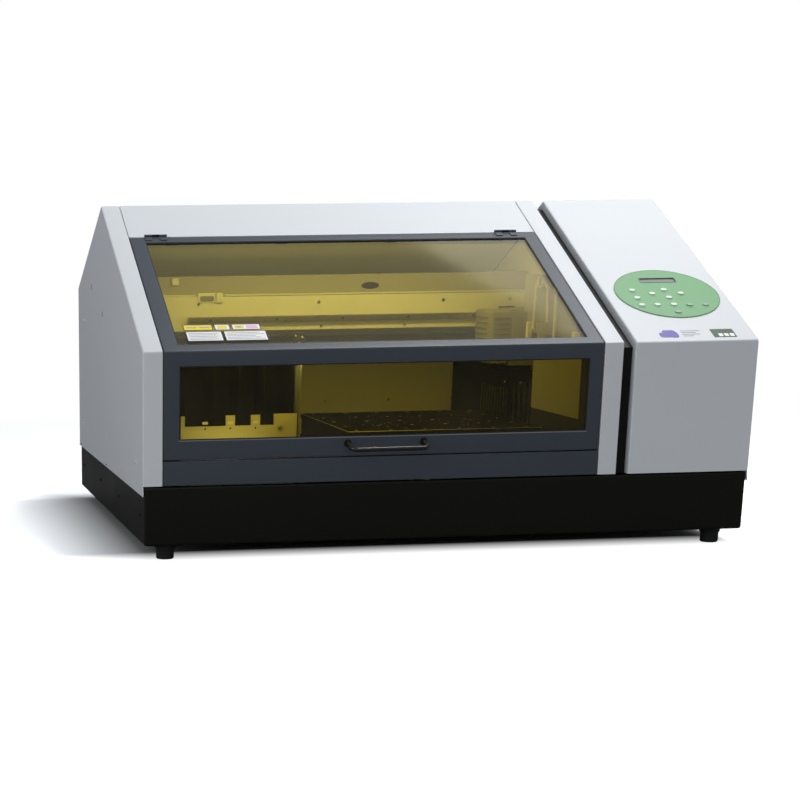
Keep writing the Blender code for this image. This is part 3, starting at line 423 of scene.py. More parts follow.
class Shape:
    """Closed solids gathered into one piece, each built in a place, with a look and a body to ride on."""
    made = []

    def __init__(self, name, look, body="frame"):
        self.name, self.look, self.body = name, look, body
        self.bm = bmesh.new()
        Shape.made.append(self)

    def row(self, place, points):
        """Vertices at points of a place, turned from millimetres into metres."""
        return [self.bm.verts.new(place @ Vector(point) * MM) for point in points]

    def band(self, lower, upper):
        """Side faces between two rows of points that run counterclockwise."""
        count = max(len(lower), len(upper))
        for i in range(count):
            j = (i + 1) % count
            corners = [lower[i % len(lower)], lower[j % len(lower)], upper[j % len(upper)],
                       upper[i % len(upper)]]
            self.bm.faces.new(list(dict.fromkeys(corners)))

    def prism(self, place, outline, low, high, chamfer=0.0):
        """A solid between two heights, with its upper edge chamfered."""
        rows = [self.row(place, [(x, y, low) for x, y in outline]),
                self.row(place, [(x, y, high - chamfer) for x, y in outline])]
        if chamfer:
            rows.append(self.row(place, [(x, y, high) for x, y in shrunk(outline, chamfer)]))
        for lower, upper in zip(rows, rows[1:]):
            self.band(lower, upper)
        self.bm.faces.new(rows[-1])
        self.bm.faces.new(list(reversed(rows[0])))

    def slab(self, place, width, height, high, radius=0.0, chamfer=0.0, low=-EMBED):
        """A rectangular plate centred on a place, a little sunk into it unless told otherwise."""
        self.prism(place, rounded(width, height, radius), low, high, chamfer)

    def ring(self, place, outer, inner, low, high):
        """A flat frame between two outlines of equally many points."""
        rows = [self.row(place, [(x, y, z) for x, y in outline])
                for outline, z in ((outer, low), (outer, high), (inner, high), (inner, low))]
        for lower, upper in zip(rows, rows[1:] + rows[:1]):
            self.band(lower, upper)

    def lathe(self, place, profile, sides=24):
        """A turned solid from (radius, height) points, bottom to top. A radius may follow the turn."""
        rows = []
        for radius, z in profile:
            if radius == 0:
                rows.append(self.row(place, [(0, 0, z)]))
                continue
            points = []
            for i in range(sides):
                turn = 2 * math.pi * i / sides
                reach = radius(turn) if callable(radius) else radius
                points.append((reach * math.cos(turn), reach * math.sin(turn), z))
            rows.append(self.row(place, points))
        if profile[0][0] != 0:
            rows.append(rows[0])
        for lower, upper in zip(rows, rows[1:]):
            self.band(lower, upper)

    def stud(self, place, profile, sides=24):
        """A turned solid that stands on a place, from the (radius, height) points of its outside."""
        foot, top = profile[0][0], profile[-1][1]
        self.lathe(place, [(0, -EMBED), (foot, -EMBED)] + profile + [(0, top)], sides)

    def screw(self, place, radius=SCREW_RADIUS):
        """A domed screw head with a cross recess."""
        height = 0.6 * radius
        recess = cross_recess(0.5 * radius)
        self.stud(place, [(radius, 0.4 * height), (0.8 * radius, height), (recess, height),
                          (recess, 0.35 * height)], 16)

    def cap_screw(self, place, radius):
        """A cylindrical screw head with a hexagonal socket."""
        height = radius
        socket = hex_recess(0.55 * radius)
        self.stud(place, [(radius, 0.85 * height), (0.88 * radius, height), (socket, height),
                          (socket, 0.4 * height)], 24)

    def tube(self, points, radius, sides=10):
        """A round bar or hose along a line of points."""
        points = [Vector(point) for point in points]
        rows = []
        across = None
        for i, point in enumerate(points):
            ahead = (points[min(i + 1, len(points) - 1)] - points[max(i - 1, 0)]).normalized()
            if across is None:
                across = ahead.orthogonal().normalized()
            across = (across - ahead * across.dot(ahead)).normalized()
            place = at(point, ahead, ahead.cross(across))
            turns = [2 * math.pi * k / sides for k in range(sides)]
            rows.append(self.row(place, [(radius * math.cos(a), radius * math.sin(a), 0) for a in turns]))
        for lower, upper in zip(rows, rows[1:]):
            self.band(lower, upper)
        self.bm.faces.new(rows[-1])
        self.bm.faces.new(list(reversed(rows[0])))

    def finish(self):
        """Makes the piece an object with its finish, riding on its body."""
        mesh = bpy.data.meshes.new(self.name)
        self.bm.to_mesh(mesh)
        self.bm.free()
        mesh.materials.append(FINISH[self.look])
        piece = new_object(self.name, mesh)
        shade_smooth(piece)
        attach(piece, self.body)


def spaced(low, high, count):
    """Evenly spaced values, including both ends."""
    return [low + (high - low) * i / (count - 1) for i in range(count)]


def corners(half):
    """The four corners of a square, half its width away from its middle."""
    return [(x, y) for x in (-half, half) for y in (-half, half)]


def face_place(node, side, across=0.5, up=0.5):
    """A place on one side of a node's box, at fractions of its width and height."""
    low, high = box_of(node)
    size = high - low
    if side in ("front", "back"):
        y, normal = (low.y, -Y) if side == "front" else (high.y, Y)
        return at((low.x + size.x * across, y, low.z + size.z * up), normal)
    if side in ("left", "right"):
        x, normal = (low.x, -X) if side == "left" else (high.x, X)
        return at((x, low.y + size.y * across, low.z + size.z * up), normal)
    z, normal = (low.z, -Z) if side == "bottom" else (high.z, Z)
    return at((low.x + size.x * across, low.y + size.y * up, z), normal, Y)


def slope_slab(node):
    """Centre, width, length and thickness of a plate that lies on the long slope."""
    low, high = box_of(node)
    size = high - low
    c, s = SLOPE_NORMAL.z, -SLOPE_NORMAL.y
    length = (size.y * c - size.z * s) / (c * c - s * s)
    thick = (size.z - length * s) / c
    return (low + high) / 2, size.x, length, thick


def slope_face(node):
    """A place on the upper face of a plate on the long slope, with the plate's width, length and centre."""
    centre, width, length, thick = slope_slab(node)
    return at(centre + SLOPE_NORMAL * thick / 2, SLOPE_NORMAL, UP_SLOPE), width, length, centre


def slope_start():
    """Where the long slope starts at its lower edge, at x = 0."""
    centre, _, _, thick = slope_slab("control_plate")
    centre = centre - SLOPE_NORMAL * (thick / 2 + PLATE_GAP)
    front = box_of("cabinet_cover")[0].y
    start = centre - UP_SLOPE * ((centre.y - front) / UP_SLOPE.y)
    return Vector((0, start.y, start.z))


def on_slope(x, s, n=0.0):
    """A place on the long slope, s up it and n above it."""
    return at(SLOPE_START + X * x + UP_SLOPE * s + SLOPE_NORMAL * n, SLOPE_NORMAL, UP_SLOPE)


# ---- door and covers

def make_gaskets():
    """Black rubber strips around both windows, on the panes inside the frame's openings."""
    for node, name in (("slope_window", "slope_gasket"), ("front_window", "front_gasket")):
        if node == "slope_window":
            place, width, length, _ = slope_face(node)
        else:
            low, high = box_of(node)
            width, length = high.x - low.x, high.z - low.z
            place = face_place(node, "front")
        outer = rounded(width - 2 * PANE_LAP - 0.3, length - 2 * PANE_LAP - 0.3, 1.5)
        shape = Shape(name, "rubber", "cover")
        shape.ring(place, outer, shrunk(outer, 1.8), 0.05, 1.4)


def make_window_edge_highlight():
    """A thin pale strip along the lower edge of the front window's opening, a painted highlight where the frame's
    edge catches the light.
    """
    low, high = box_of("front_window")
    front = box_of("cover_frame")[0].y
    # The pale strip paints the highlight of the frame's lit edge
    shape = Shape("window_edge_highlight", "grey_plastic", "cover")
    place = at(((low.x + high.x) / 2, front, low.z + PANE_LAP - 0.6), -Y)
    shape.slab(place, high.x - low.x - 2 * PANE_LAP + 2, 1.6, 0.5, 0.4)


def make_pane_clips():
    """Clips with screws that hold the panes from behind."""
    clips = Shape("pane_clips", "black_paint", "cover")
    screws = Shape("pane_clip_screws", "steel", "cover")
    centre, width, length, thick = slope_slab("slope_window")
    slope_back = at(centre - SLOPE_NORMAL * thick / 2, -SLOPE_NORMAL, UP_SLOPE)
    low, high = box_of("front_window")
    clip_thick = 1.6
    for back, height in ((slope_back, length), (face_place("front_window", "back"), high.z - low.z)):
        for fraction in spaced(-CLIP_SPREAD, CLIP_SPREAD, 4):
            for end in (-1, 1):
                place = shifted(back, width * fraction, end * (height / 2 - 3))
                clips.slab(place, 22, 9, clip_thick, 2, 0.4, low=0.1)
                screws.screw(shifted(place, z=clip_thick))


def make_handle_washers():
    """A thin washer around each foot of the handle."""
    low, high = box_of("cover_handle")
    front = box_of("cover_frame")[0].y
    shape = Shape("handle_washers", "black_paint", "cover")
    bar = HANDLE_RADIUS
    for x in (low.x + bar, high.x - bar):
        place = at((x, front, high.z - bar), -Y)
        shape.lathe(place, [(bar + 0.1, 0), (bar + 2.4, 0), (bar + 2.4, 0.7), (bar + 1.9, 1.2),
                            (bar + 0.1, 1.2)])


def make_window_labels():
    """Plain label blocks on the lower left of the slope window, with bars in place of lettering."""
    face, width, length, _ = slope_face("slope_window")
    corner = shifted(face, PANE_LAP - width / 2, PANE_LAP - length / 2, 0.05)
    edges = Shape("window_label_edges", "black_plastic", "cover")
    sheet = Shape("window_label_sheets", "label_white", "cover")
    yellow = Shape("window_label_yellow", "label_yellow", "cover")
    pink = Shape("window_label_pink", "label_pink", "cover")
    bars = Shape("window_label_bars", "label_grey", "cover")
    film = 0.12

    def block(shape, x, y, w, h, layer=0):
        place = shifted(corner, x, y, layer * 2 * film)
        shape.prism(place, rounded(w, h, 0.8, (w / 2, h / 2)), 0, 2 * film)

    for shape, x, y, w, h in ((yellow, 18, 50, 47, 18), (sheet, 68, 50, 25, 18), (sheet, 96, 50, 46, 18),
                              (sheet, 19, 15, 58, 31), (sheet, 80, 15, 68, 31)):
        block(edges, x, y, w, h)
        block(shape, x + 1.2, y + 1.4, w - 2.4, h - 2.8, 1)
    for x, w in ((73, 15), (100, 15)):
        block(yellow, x, 54, w, 10, 2)
    block(pink, 119, 54, 18, 10, 2)
    for x, w, layer in ((104, 7, 3), (23, 16, 2), (44, 16, 2)):
        block(bars, x, 57, w, 4, layer)
    for row in range(5):
        block(bars, 23, 20 + row * 4.8, 49 - 5 * (row % 2), 0.9, 2)
        block(bars, 84, 20 + row * 4.8, 60 - 7 * (row % 3), 0.9, 2)


def make_side_marks():
    """Slots, screws and hem tabs on the left side cover."""
    low = box_of("left_side_cover")[0]
    dark = Shape("side_slots", "black_plastic")
    light = Shape("side_screws", "light_paint")
    for y, z in ((198, 406.5), (206, 406.5), (57, 364), (63.5, 364)):
        dark.slab(at((low.x, y, z), -X), 1.6, 9, 0.15, 0.7)
    for y, z in ((313.5, 343), (-330, 150), (350, 150)):
        light.screw(at((low.x, y, z), -X), 3.0)
    for y in (18, 372):
        dark.slab(at((low.x, y, low.z + 4), -X), 14, 2.2, 0.2, 1)


def make_base_details():
    """Bumpers under the tray, and screws along its sides."""
    low, high = box_of("base_tray")
    pads = Shape("base_bumpers", "rubber")
    screws = Shape("base_screws", "black_paint")
    for x, y in ((-377, -356), (416, -337), (-377, 350), (416, 350)):
        pads.stud(at((x, y, low.z), -Z, Y), [(7, 3), (5.5, 4.5)])
    for y in spaced(low.y + 50, high.y - 50, 4):
        for x, normal in ((low.x, -X), (high.x, X)):
            screws.screw(at((x, y, low.z + 45), normal))
    for x in spaced(low.x + 60, high.x - 60, 5):
        screws.screw(at((x, high.y, low.z + 45), Y))


# ---- control panel

def make_panel_marks():
    """A darker line around the oval film that paints the shadow line of its recess, a bezel around the display,
    and bars beside the keys.
    """
    face, width, length, centre = slope_face("control_plate")
    lines = Shape("panel_lines", "line_green")
    # The dark ring paints the shadow line along the oval film's recess
    outer = ellipse(width / 2 - 0.1, length / 2 - 0.1)
    lines.ring(face, outer, ellipse(width / 2 - 1.1, length / 2 - 1.1), -0.1, 0.15)
    below_key = 8.5
    for node in frame["nodes"]:
        if not node.startswith("key_"):
            continue
        low, high = box_of(node)
        middle = (low + high) / 2
        x = middle.x - centre.x
        s = (middle.y - centre.y) / UP_SLOPE.y
        lines.slab(shifted(face, x, s - below_key), 8, 1.3, 0.12, 0.5, low=-0.1)
    glass, glass_width, glass_length, _ = slope_slab("display_window")
    place = shifted(face, glass.x - centre.x, (glass - centre).dot(UP_SLOPE))
    bezel = Shape("display_bezel", "grey_plastic")
    inner = rounded(glass_width, glass_length, 0.5)
    bezel.ring(place, rounded(glass_width + 3, glass_length + 3, 2), inner, -0.1, 0.5)


def make_stickers():
    """A plain violet sticker and a plain dark green badge low on the cabinet's slope."""
    violet = Shape("violet_sticker", "label_violet")
    badge = Shape("green_badge", "badge_green")
    bars = Shape("sticker_bars", "grey_plastic")
    plain = Shape("badge_blocks", "label_white")
    left = box_of("cabinet_cover")[0].x
    for x, s, width, height, thick in ((56, 20.5, 22, 16, 0.20), (63, 25, 22, 22, 0.24),
                                       (69, 21.5, 14, 20, 0.28)):
        violet.slab(on_slope(left + x, s), width, height, thick, 5)
    for row, width in enumerate((32, 24, 30, 18)):
        bars.slab(on_slope(left + 83 + width / 2, 33 - row * 5.5), width, 1.5, 0.15, 0.5)
    badge.slab(on_slope(left + 152, 23.5), 38, 27, 0.2, 1.5)
    for step in range(3):
        plain.slab(on_slope(left + 146 + step * 9.5, 18), 7, 9, 0.3, 1)


# ---- beam and carriage

def make_rail_screws():
    """Socket screws along the guide rail, with an open hole between each two."""
    low, high = box_of("carriage_rail")
    screws = Shape("rail_screws", "steel")
    holes = Shape("rail_holes", "black_plastic")
    for i, x in enumerate(spaced(low.x + 40, high.x - 40, 10)):
        place = at((x, low.y, (low.z + high.z) / 2), -Y)
        if i % 2:
            screws.cap_screw(place, 2.9)
        else:
            holes.stud(place, [(2.6, 0.15)])


def make_beam_details():
    """The beam's screws, cable slots, brackets, sensor and ledge, and a cable cover whose dull colour paints the
    shade on the beam's upper band.
    """
    low, high = box_of("carriage_beam")
    rail_low, rail_high = box_of("carriage_rail")
    front = low.y + BEAM_STEP
    screws = Shape("beam_screws", "steel")
    holes = Shape("beam_slots", "black_plastic")
    brackets = Shape("beam_brackets", "inner_paint")
    sensor = Shape("beam_sensors", "grey_plastic")
    face = at((rail_low.x + 41, low.y, high.z - 36.5), -Y)
    brackets.slab(face, 45, 17, 2, 2, 0.6)
    brackets.slab(shifted(face, x=16, z=2), 12, 17, 4, 1, 0.6)
    sensor.slab(shifted(face, x=-6, y=-1, z=2), 24, 8, 3, 1, 0.6)
    screws.screw(shifted(face, x=16, y=4, z=4), 2.4)
    brackets.slab(at((rail_low.x - 22, front, high.z - 8), -Y), 12, 12, 6, 1.5, 0.6)
    for x in (rail_low.x + 20, rail_low.x + 240, rail_high.x - 155, rail_high.x - 30):
        screws.screw(at((x, low.y, high.z - 47), -Y), 3.2)
    for x in spaced(low.x + 30, high.x - 50, 7):
        screws.screw(at((x, (low.y + high.y) / 2, high.z), Z, Y), 3.0)
        holes.slab(at((x + 45, low.y + 20, high.z), Z, Y), 26, 6, 0.15, 2.8)
    window = Shape("beam_sensor_window", "black_plastic")
    window.prism(at((-3, front, high.z - 19.5), -Y), ellipse(16, 6, 24), 0.5, 3.5, 1)
    for x in spaced(rail_low.x + 90, rail_high.x - 70, 4):
        screws.screw(at((x, low.y, rail_low.z - 8), -Y))
    ledge_left = rail_low.x + 68
    ledge = Shape("beam_ledge", "inner_paint")
    ledge.slab(at(((ledge_left + high.x) / 2, low.y, high.z - 32.5), -Y), high.x - ledge_left, 2.4, 3, 0.5,
               0.4)
    ledge.slab(at((low.x + 12, low.y, high.z - 50), -Y), 12, 15, 4, 1, 0.6)
    # A dull cable cover over the beam's upper band; its darker colour paints the shade that falls there
    cover = Shape("beam_shade_cover", "dull_zinc")
    cover_height = 31
    cover.slab(at(((low.x + high.x) / 2, front, high.z - cover_height / 2), -Y), high.x - low.x,
               cover_height, 0.8, 1)


def make_carriage_details():
    """The carriage's lid, ribs, connector, screws, nozzle plate and lamp fins."""
    low, high = box_of("carriage_body")
    head_low, head_high = box_of("print_head")
    lamp_low, lamp_high = box_of("uv_lamp")
    lid = Shape("carriage_lid", "dull_zinc", "carriage")
    ribs = Shape("carriage_ribs", "grey_plastic", "carriage")
    screws = Shape("carriage_screws", "steel", "carriage")
    plug = Shape("carriage_connectors", "black_plastic", "carriage")
    metal = Shape("carriage_metalwork", "aluminium", "carriage")
    front = low.y
    head_x = (head_low.x + head_high.x) / 2
    lid.slab(at((head_x, front, (low.z + high.z) / 2 + 2), -Y), 50, 46, 1.6, 3, 0.8)
    lid.slab(at((head_x, (low.y + high.y) / 2 - 8, high.z), Z, Y), 50, 66, 2.4, 4, 1)
    for x in (head_x - 20, head_x + 20):
        for share in (0.16, 0.90):
            z = low.z + share * (high.z - low.z)
            screws.screw(at((x, front - 1.6, z), -Y), 1.8)
    for z in spaced(low.z + 12, high.z - 12, 6):
        ribs.slab(at(((lamp_low.x + lamp_high.x) / 2, front, z), -Y), 26, 2.4, 2.2, 0.8, 0.5)
        ribs.slab(at((low.x, (low.y + high.y) / 2 - 6, z), -X), 60, 2.4, 2.2, 0.8, 0.5)
    plug.slab(at((head_x, high.y - 16, high.z), Z, Y), 30, 8, 4, 1, 0.6)
    under = at((head_x, (head_low.y + head_high.y) / 2, head_low.z), -Z, Y)
    metal.slab(under, 42, 62, 0.5, 1, 0.2)
    for x in spaced(lamp_low.x + 5, lamp_high.x - 5, 5):
        metal.slab(at((x, lamp_low.y, (lamp_low.z + lamp_high.z) / 2), -Y), 1.6, 16, 3, 0.6, 0.4)


def make_motor_details():
    """Mounting screws, bosses and plugs on the three motors."""
    screws = Shape("motor_screws", "steel")
    bosses = Shape("motor_bosses", "aluminium")
    plugs = Shape("motor_plugs", "label_white")
    for node, side, half in (("carriage_motor", "bottom", 16), ("feed_motor", "front", 22)):
        face = face_place(node, side)
        bosses.lathe(face, [(half * 0.32, 0), (half * 0.8, 0), (half * 0.8, 1.2), (half * 0.75, 1.6),
                            (half * 0.32, 1.6)], 32)
        for x, y in corners(half):
            screws.cap_screw(shifted(face, x, y), 1.9)
    for node, side in (("carriage_motor", "top"), ("feed_motor", "left")):
        plugs.slab(face_place(node, side), 14, 8, 5, 0.8, 0.6)
    lift = Shape("lift_motor_metalwork", "aluminium", "table_feed")
    lift_plug = Shape("lift_motor_plug", "label_white", "table_feed")
    face = face_place("lift_motor", "top")
    for x, y in corners(15.5):
        lift.cap_screw(shifted(face, x, y), 1.9)
    lift.stud(face, [(11, 1.4), (4, 1.8), (2.5, 6)])
    lift_plug.slab(face_place("lift_motor", "left", 0.5, 0.3), 14, 8, 5, 1)


# ---- chamber

def make_slot_plate_details():
    """Small plates and screws on the slot plate's tabs, and a thumbscrew beside them."""
    low, high = box_of("slot_plate")
    plates = Shape("slot_labels", "label_white")
    screws = Shape("slot_screws", "black_plastic")
    knob = Shape("slot_thumbscrew", "steel")
    tab_floor = high.z - 17.5
    for x in spaced(*SLOT_TABS, 3):
        plates.slab(at((x, low.y, tab_floor + 5), -Y), 9, 4, 0.3, 0.5)
        screws.screw(at((x, low.y, tab_floor - 4), -Y), 1.5)
    knob.stud(at((high.x - 28, low.y, tab_floor - 5), -Y), [(2, 2), (3.6, 2.5), (3.6, 6), (3.0, 6.6)], 20)


def make_cartridges():
    """Ink cartridges in the bay, each with a grip and a tab."""
    low, high = box_of("ink_bay")
    bodies = Shape("cartridges", "matte_black")
    grips = Shape("cartridge_grips", "black_plastic")
    tabs = Shape("cartridge_tabs", "matte_black")
    front, back = low.y + 60, high.y - 30
    pitch = 41
    for i in range(5):
        x = low.x + 25.5 + i * pitch
        place = at((x, front, (low.z + high.z) / 2), -Y)
        bodies.slab(place, 33, 132, 0, 3, 1.5, low=front - back)
        grips.slab(shifted(place, y=-45), 20, 20, 3, 4, 1)
        tabs.slab(shifted(place, y=20), 22, 46, 0.4, 2)


def make_table_details():
    """Bushes, pins and skirts of the print table, where the pale pins paint glints, and a pale strip along its
    front and left edges that paints their highlight.
    """
    rng = random.Random(3)
    low, high = box_of("print_table")
    middle = (low + high) / 2
    screws = Shape("table_bushes", "steel", "table_lift")
    strip = Shape("table_edge_highlights", "aluminium", "table_lift")
    pins = Shape("table_glint_pins", "grey_plastic", "table_lift")
    skirt = Shape("table_skirts", "matte_black", "table_lift")
    for x in spaced(low.x + 20, high.x - 20, 6):
        for y in spaced(low.y + 20, high.y - 20, 5):
            place = at((x, y, high.z), Z, Y)
            screws.stud(place, [(2.6, 0.15), (1.5, 0.15), (1.4, 0.02)], 16)
    # Pale pins scattered over the table paint glinting specks
    for _ in range(60):
        place = at((rng.uniform(low.x + 15, high.x - 15), rng.uniform(low.y + 15, high.y - 15), high.z), Z,
                   Y)
        size = rng.uniform(0.35, 0.8)
        pins.stud(place, [(size, size), (0.6 * size, 1.5 * size)], 10)
    # Pale strips along the front and left edges paint the highlight on those edges
    for x, y, width, depth in ((0, -1, high.x - low.x, 3), (-1, 0, 3, high.y - low.y)):
        place = at((middle.x + x * (middle.x - low.x - 1.5), middle.y + y * (middle.y - low.y - 1.5),
                    high.z), Z, Y)
        strip.slab(place, width - 2, depth - 0.4, 0.25, 0.5)
    drop = 36
    top = low.z + EMBED
    for place, width in ((at((middle.x, low.y + 3, top - drop / 2), -Y), high.x - low.x - 6),
                         (at((low.x + 3, middle.y, top - drop / 2), -X), high.y - low.y - 6)):
        skirt.slab(place, width, drop, 0, 1, low=-1.5)


def make_station_details():
    """Ribs and screws on the capping station."""
    low, high = box_of("capping_station")
    ribs = Shape("station_ribs", "black_plastic")
    screws = Shape("station_screws", "steel")
    for y in spaced(low.y + 12, low.y + 150, 10):
        ribs.slab(at((low.x, y, 150), -X), 3, 150, 3, 1, 0.6)
    for x in spaced(low.x + 8, high.x - 8, 5):
        ribs.slab(at((x, low.y, 150), -Y), 2.4, 170, 3, 0.8, 0.6)
    for z in (70, 160, 235):
        screws.screw(at((low.x + 19, low.y, z), -Y), 2.4)
        screws.screw(at((low.x, low.y + 27, z), -X), 2.4)


def make_wall_fittings():
    """A damper rod with brackets, a pale hose, foam and sheets at the right side of the chamber. The black foam
    strips paint the shade at the side panel's front edge and low on it, and the dull shield paints the shade
    beside the pillar.
    """
    panel = box_of("cover_frame")[1].x - 1.5
    x = box_of("right_pillar")[0].x + 3.3
    rod = Shape("damper_rod", "label_white")
    hose = Shape("wall_hose", "label_white")
    bracket = Shape("damper_brackets", "label_white")
    shade_foam = Shape("side_panel_shade_foam", "rubber")
    rod.tube([(x, DAMPER_Y, 312), (x, DAMPER_Y, 400)], 2.6, 16)
    rod.lathe(at((x, DAMPER_Y, 398), Z, Y), [(0, 0), (4.5, 0), (4.5, 5), (0, 6)])
    bracket.slab(at((panel - 0.4, DAMPER_Y, 303), -X), 26, 20, 2, 2, 0.5)
    bracket.slab(at((x, -257, 330), -X), 16, 10, 4, 1, 0.8, low=-4)
    bracket.slab(at((x, -28, 328), -X), 9, 28, 4, 1, 0.8, low=-4)
    turns = [math.pi * (0.5 - 2 * i / 20) for i in range(18)]
    loop = [(x, -75 + 10 * math.cos(a), 411 + 10 * math.sin(a)) for a in turns]
    hose.tube([(x, -50, 330), (x, -58, 410)] + loop + [(x, -112, 402), (x, -118, 345)], 2.2, 10)
    height = SIDE_OPENING[1] - SIDE_OPENING[0]
    level = sum(SIDE_OPENING) / 2
    # Black foam strip at the side panel's front edge paints the shade there
    shade_foam.slab(at((panel - 1, -330, level), -X), 34, height, 1.5, 1, low=-1)
    # The dull shield paints the shade beside the pillar, under the slope
    shade_sheet = Shape("wall_shade_sheet", "dull_zinc")
    sheet = Shape("side_panel_sheet", "dull_zinc")
    under = [on_slope(0, s, -24).translation for s in (160, 280)]
    outline = [(-20, SHIELD_FOOT), (-20, under[1].z), (-under[1].y, under[1].z), (-under[0].y, under[0].z),
               (-under[0].y, SHIELD_FOOT)]
    shade_sheet.prism(at((x + 6, 0, 0), -X), outline[::-1], -1, 0)
    sheet_y = (-314, -82)
    sheet.slab(at((panel - 1, sum(sheet_y) / 2, level), -X), sheet_y[1] - sheet_y[0], height - 2, 0.8, 2)
    # Black foam strip low on the side panel paints the shade there
    shade_foam.slab(at((panel - 1, -205, 160), -X), 245, 78, 1.2, 1)


def make_roof_lining():
    """A pale lining sheet under the back slope of the top cover and the pillar."""
    low, high = box_of("top_cover")
    right = box_of("chamber_liner")[1].x
    ridge = SLOPE_START + UP_SLOPE * ((high.z - SLOPE_START.z) / UP_SLOPE.z)
    back = Vector((0, high.y, box_of("rear_cover")[1].z))
    along = (back - ridge).normalized()
    out = X.cross(along).normalized()
    width = right - low.x - 6
    middle = (ridge + back) / 2 - out * LINING_DEPTH + X * ((right + low.x) / 2)
    shape = Shape("roof_lining", "inner_paint")
    shape.slab(at(middle, out, along), width, (back - ridge).length - 30, 0, low=-1)


def make_partition_bracket():
    """A small angle on top of the left partition, with white screw heads whose colour paints the glints on it."""
    low, high = box_of("left_partition")
    plate = Shape("partition_bracket", "black_plastic")
    screws = Shape("partition_bracket_glint_screws", "label_white")
    y = low.y + 75
    plate.slab(at((high.x + 12, y, high.z + 14), -Y), 20, 36, 1.5, 2, 0.4, low=0)
    plate.slab(at((high.x, y + 10, high.z - 8), X), 22, 30, 2, 2, 0.4)
    # White screw heads paint the glints on the bracket
    for x, z in ((6, 27), (17, 25), (12, 16), (18, 10), (7, 7)):
        screws.screw(at((high.x + x, y - 1.5, high.z + z), -Y), 1.3)


def make_wall_details():
    """Screws on the chamber's back wall and partition, and a rail across the wall."""
    low, high = box_of("chamber_liner")
    screws = Shape("wall_screws", "steel")
    rail = Shape("wall_rail", "inner_paint")
    wall = high.y - 1
    for x in spaced(low.x + 60, high.x - 60, 6):
        for z in (385, 180):
            screws.screw(at((x, wall, z), -Y))
    rail.slab(at(((low.x + high.x) / 2, wall, 362), -Y), high.x - low.x - 100, 14, 3, 2, 1)
    part_low, part_high = box_of("left_partition")
    for z in (120, 210, 295):
        screws.screw(at((part_high.x, part_low.y + 30, z), X), 2.4)


def make_feed_details():
    """Screws along the feed rails, and collars at both ends of the feed screw."""
    screws = Shape("feed_rail_screws", "black_plastic")
    collars = Shape("feed_screw_collars", "aluminium", "feed_screw")
    for node in ("feed_rail_left", "feed_rail_right"):
        low, high = box_of(node)
        for y in spaced(low.y + 20, high.y - 20, 9):
            screws.stud(at(((low.x + high.x) / 2, y, high.z), Z, Y), [(2.4, 0.1)], 16)
    low, high = box_of("feed_screw")
    middle = (low + high) / 2
    radius = (high.x - low.x) / 2
    for y in (low.y + 4, high.y - 16):
        collars.lathe(at((middle.x, y, middle.z), Y), [(radius + 0.05, 0), (radius + 5, 0), (radius + 6, 1),
                                                       (radius + 6, 9), (radius + 5, 10),
                                                       (radius + 0.05, 10)])


# ---- back and electronics

def make_exhaust_grille():
    """A filter pad and a wire guard in the exhaust collar."""
    low, high = box_of("exhaust_collar")
    middle = (low + high) / 2
    wall = box_of("chamber_liner")[1].y
    pad = Shape("exhaust_filter", "inner_paint")
    guard = Shape("exhaust_guard", "steel")
    centre = at((middle.x, wall + 2, middle.z), -Y)
    pad.lathe(centre, [(0, -12), (EXHAUST_RADIUS, -12), (EXHAUST_RADIUS, 1), (0, 1)], 40)
    grille = at((middle.x, low.y + 12, middle.z), Y)
    wire = 0.8
    wire_corners = ((-1, -1), (1, -1), (1, 1), (-1, 1))
    for share in (0.22, 0.40, 0.58, 0.76, 0.92):
        ring = EXHAUST_RADIUS * share
        guard.lathe(grille, [(ring + x * wire, z * wire) for x, z in wire_corners], 40)
    for spoke in range(4):
        turn = math.pi * (spoke + 0.5) / 4
        reach = (EXHAUST_RADIUS - 3) * Vector((math.cos(turn), 0, math.sin(turn)))
        guard.tube([grille.translation - reach, grille.translation + reach], 0.9, 8)


def make_rear_details():
    """Screws, a blank rating plate, ports, inlet pins and vent slots on the back and right side."""
    low, high = box_of("rear_cover")
    screws = Shape("rear_screws", "steel")
    plate = Shape("rating_plate", "aluminium")
    ports = Shape("rear_ports", "black_plastic")
    pins = Shape("rear_pins", "steel")
    louvres = Shape("vent_slots", "black_plastic")
    for x in spaced(low.x + 12, high.x - 12, 5):
        for z in (low.z + 10, high.z - 10):
            screws.screw(at((x, high.y, z), Y), 2.8)
    cabinet = box_of("cabinet_cover")[1]
    inlet_low, inlet_high = box_of("power_inlet")
    plate.slab(at(((inlet_low.x + inlet_high.x) / 2, cabinet.y, inlet_high.z + 50), Y), 70, 40, 0.4, 2)
    for i in range(2):
        place = at((inlet_low.x - 45, cabinet.y, inlet_low.z + 10 + i * 26), Y)
        ports.slab(place, 17, 15, 1.2, 1, 0.4)
        pins.slab(place, 11, 9, 1.6, 0.8, 0.3)
    socket_x = inlet_low.x + (inlet_high.x - inlet_low.x) * 0.71
    for x, z in ((0, 4), (-5, -2), (5, -2)):
        place = at((socket_x + x, inlet_low.y + 7, (inlet_low.z + inlet_high.z) / 2 + z), Y)
        pins.slab(place, 1.6, 5, 10, 0.3, 0.3)
    for x in spaced(0, 180, 13):
        for z in (190, 300):
            louvres.slab(at((x, high.y, z), Y), 3.2, 70, 0.15, 1.5)
    for z in spaced(150, 290, 8):
        louvres.slab(at((cabinet.x, 200, z), X), 110, 3.2, 0.15, 1.5)


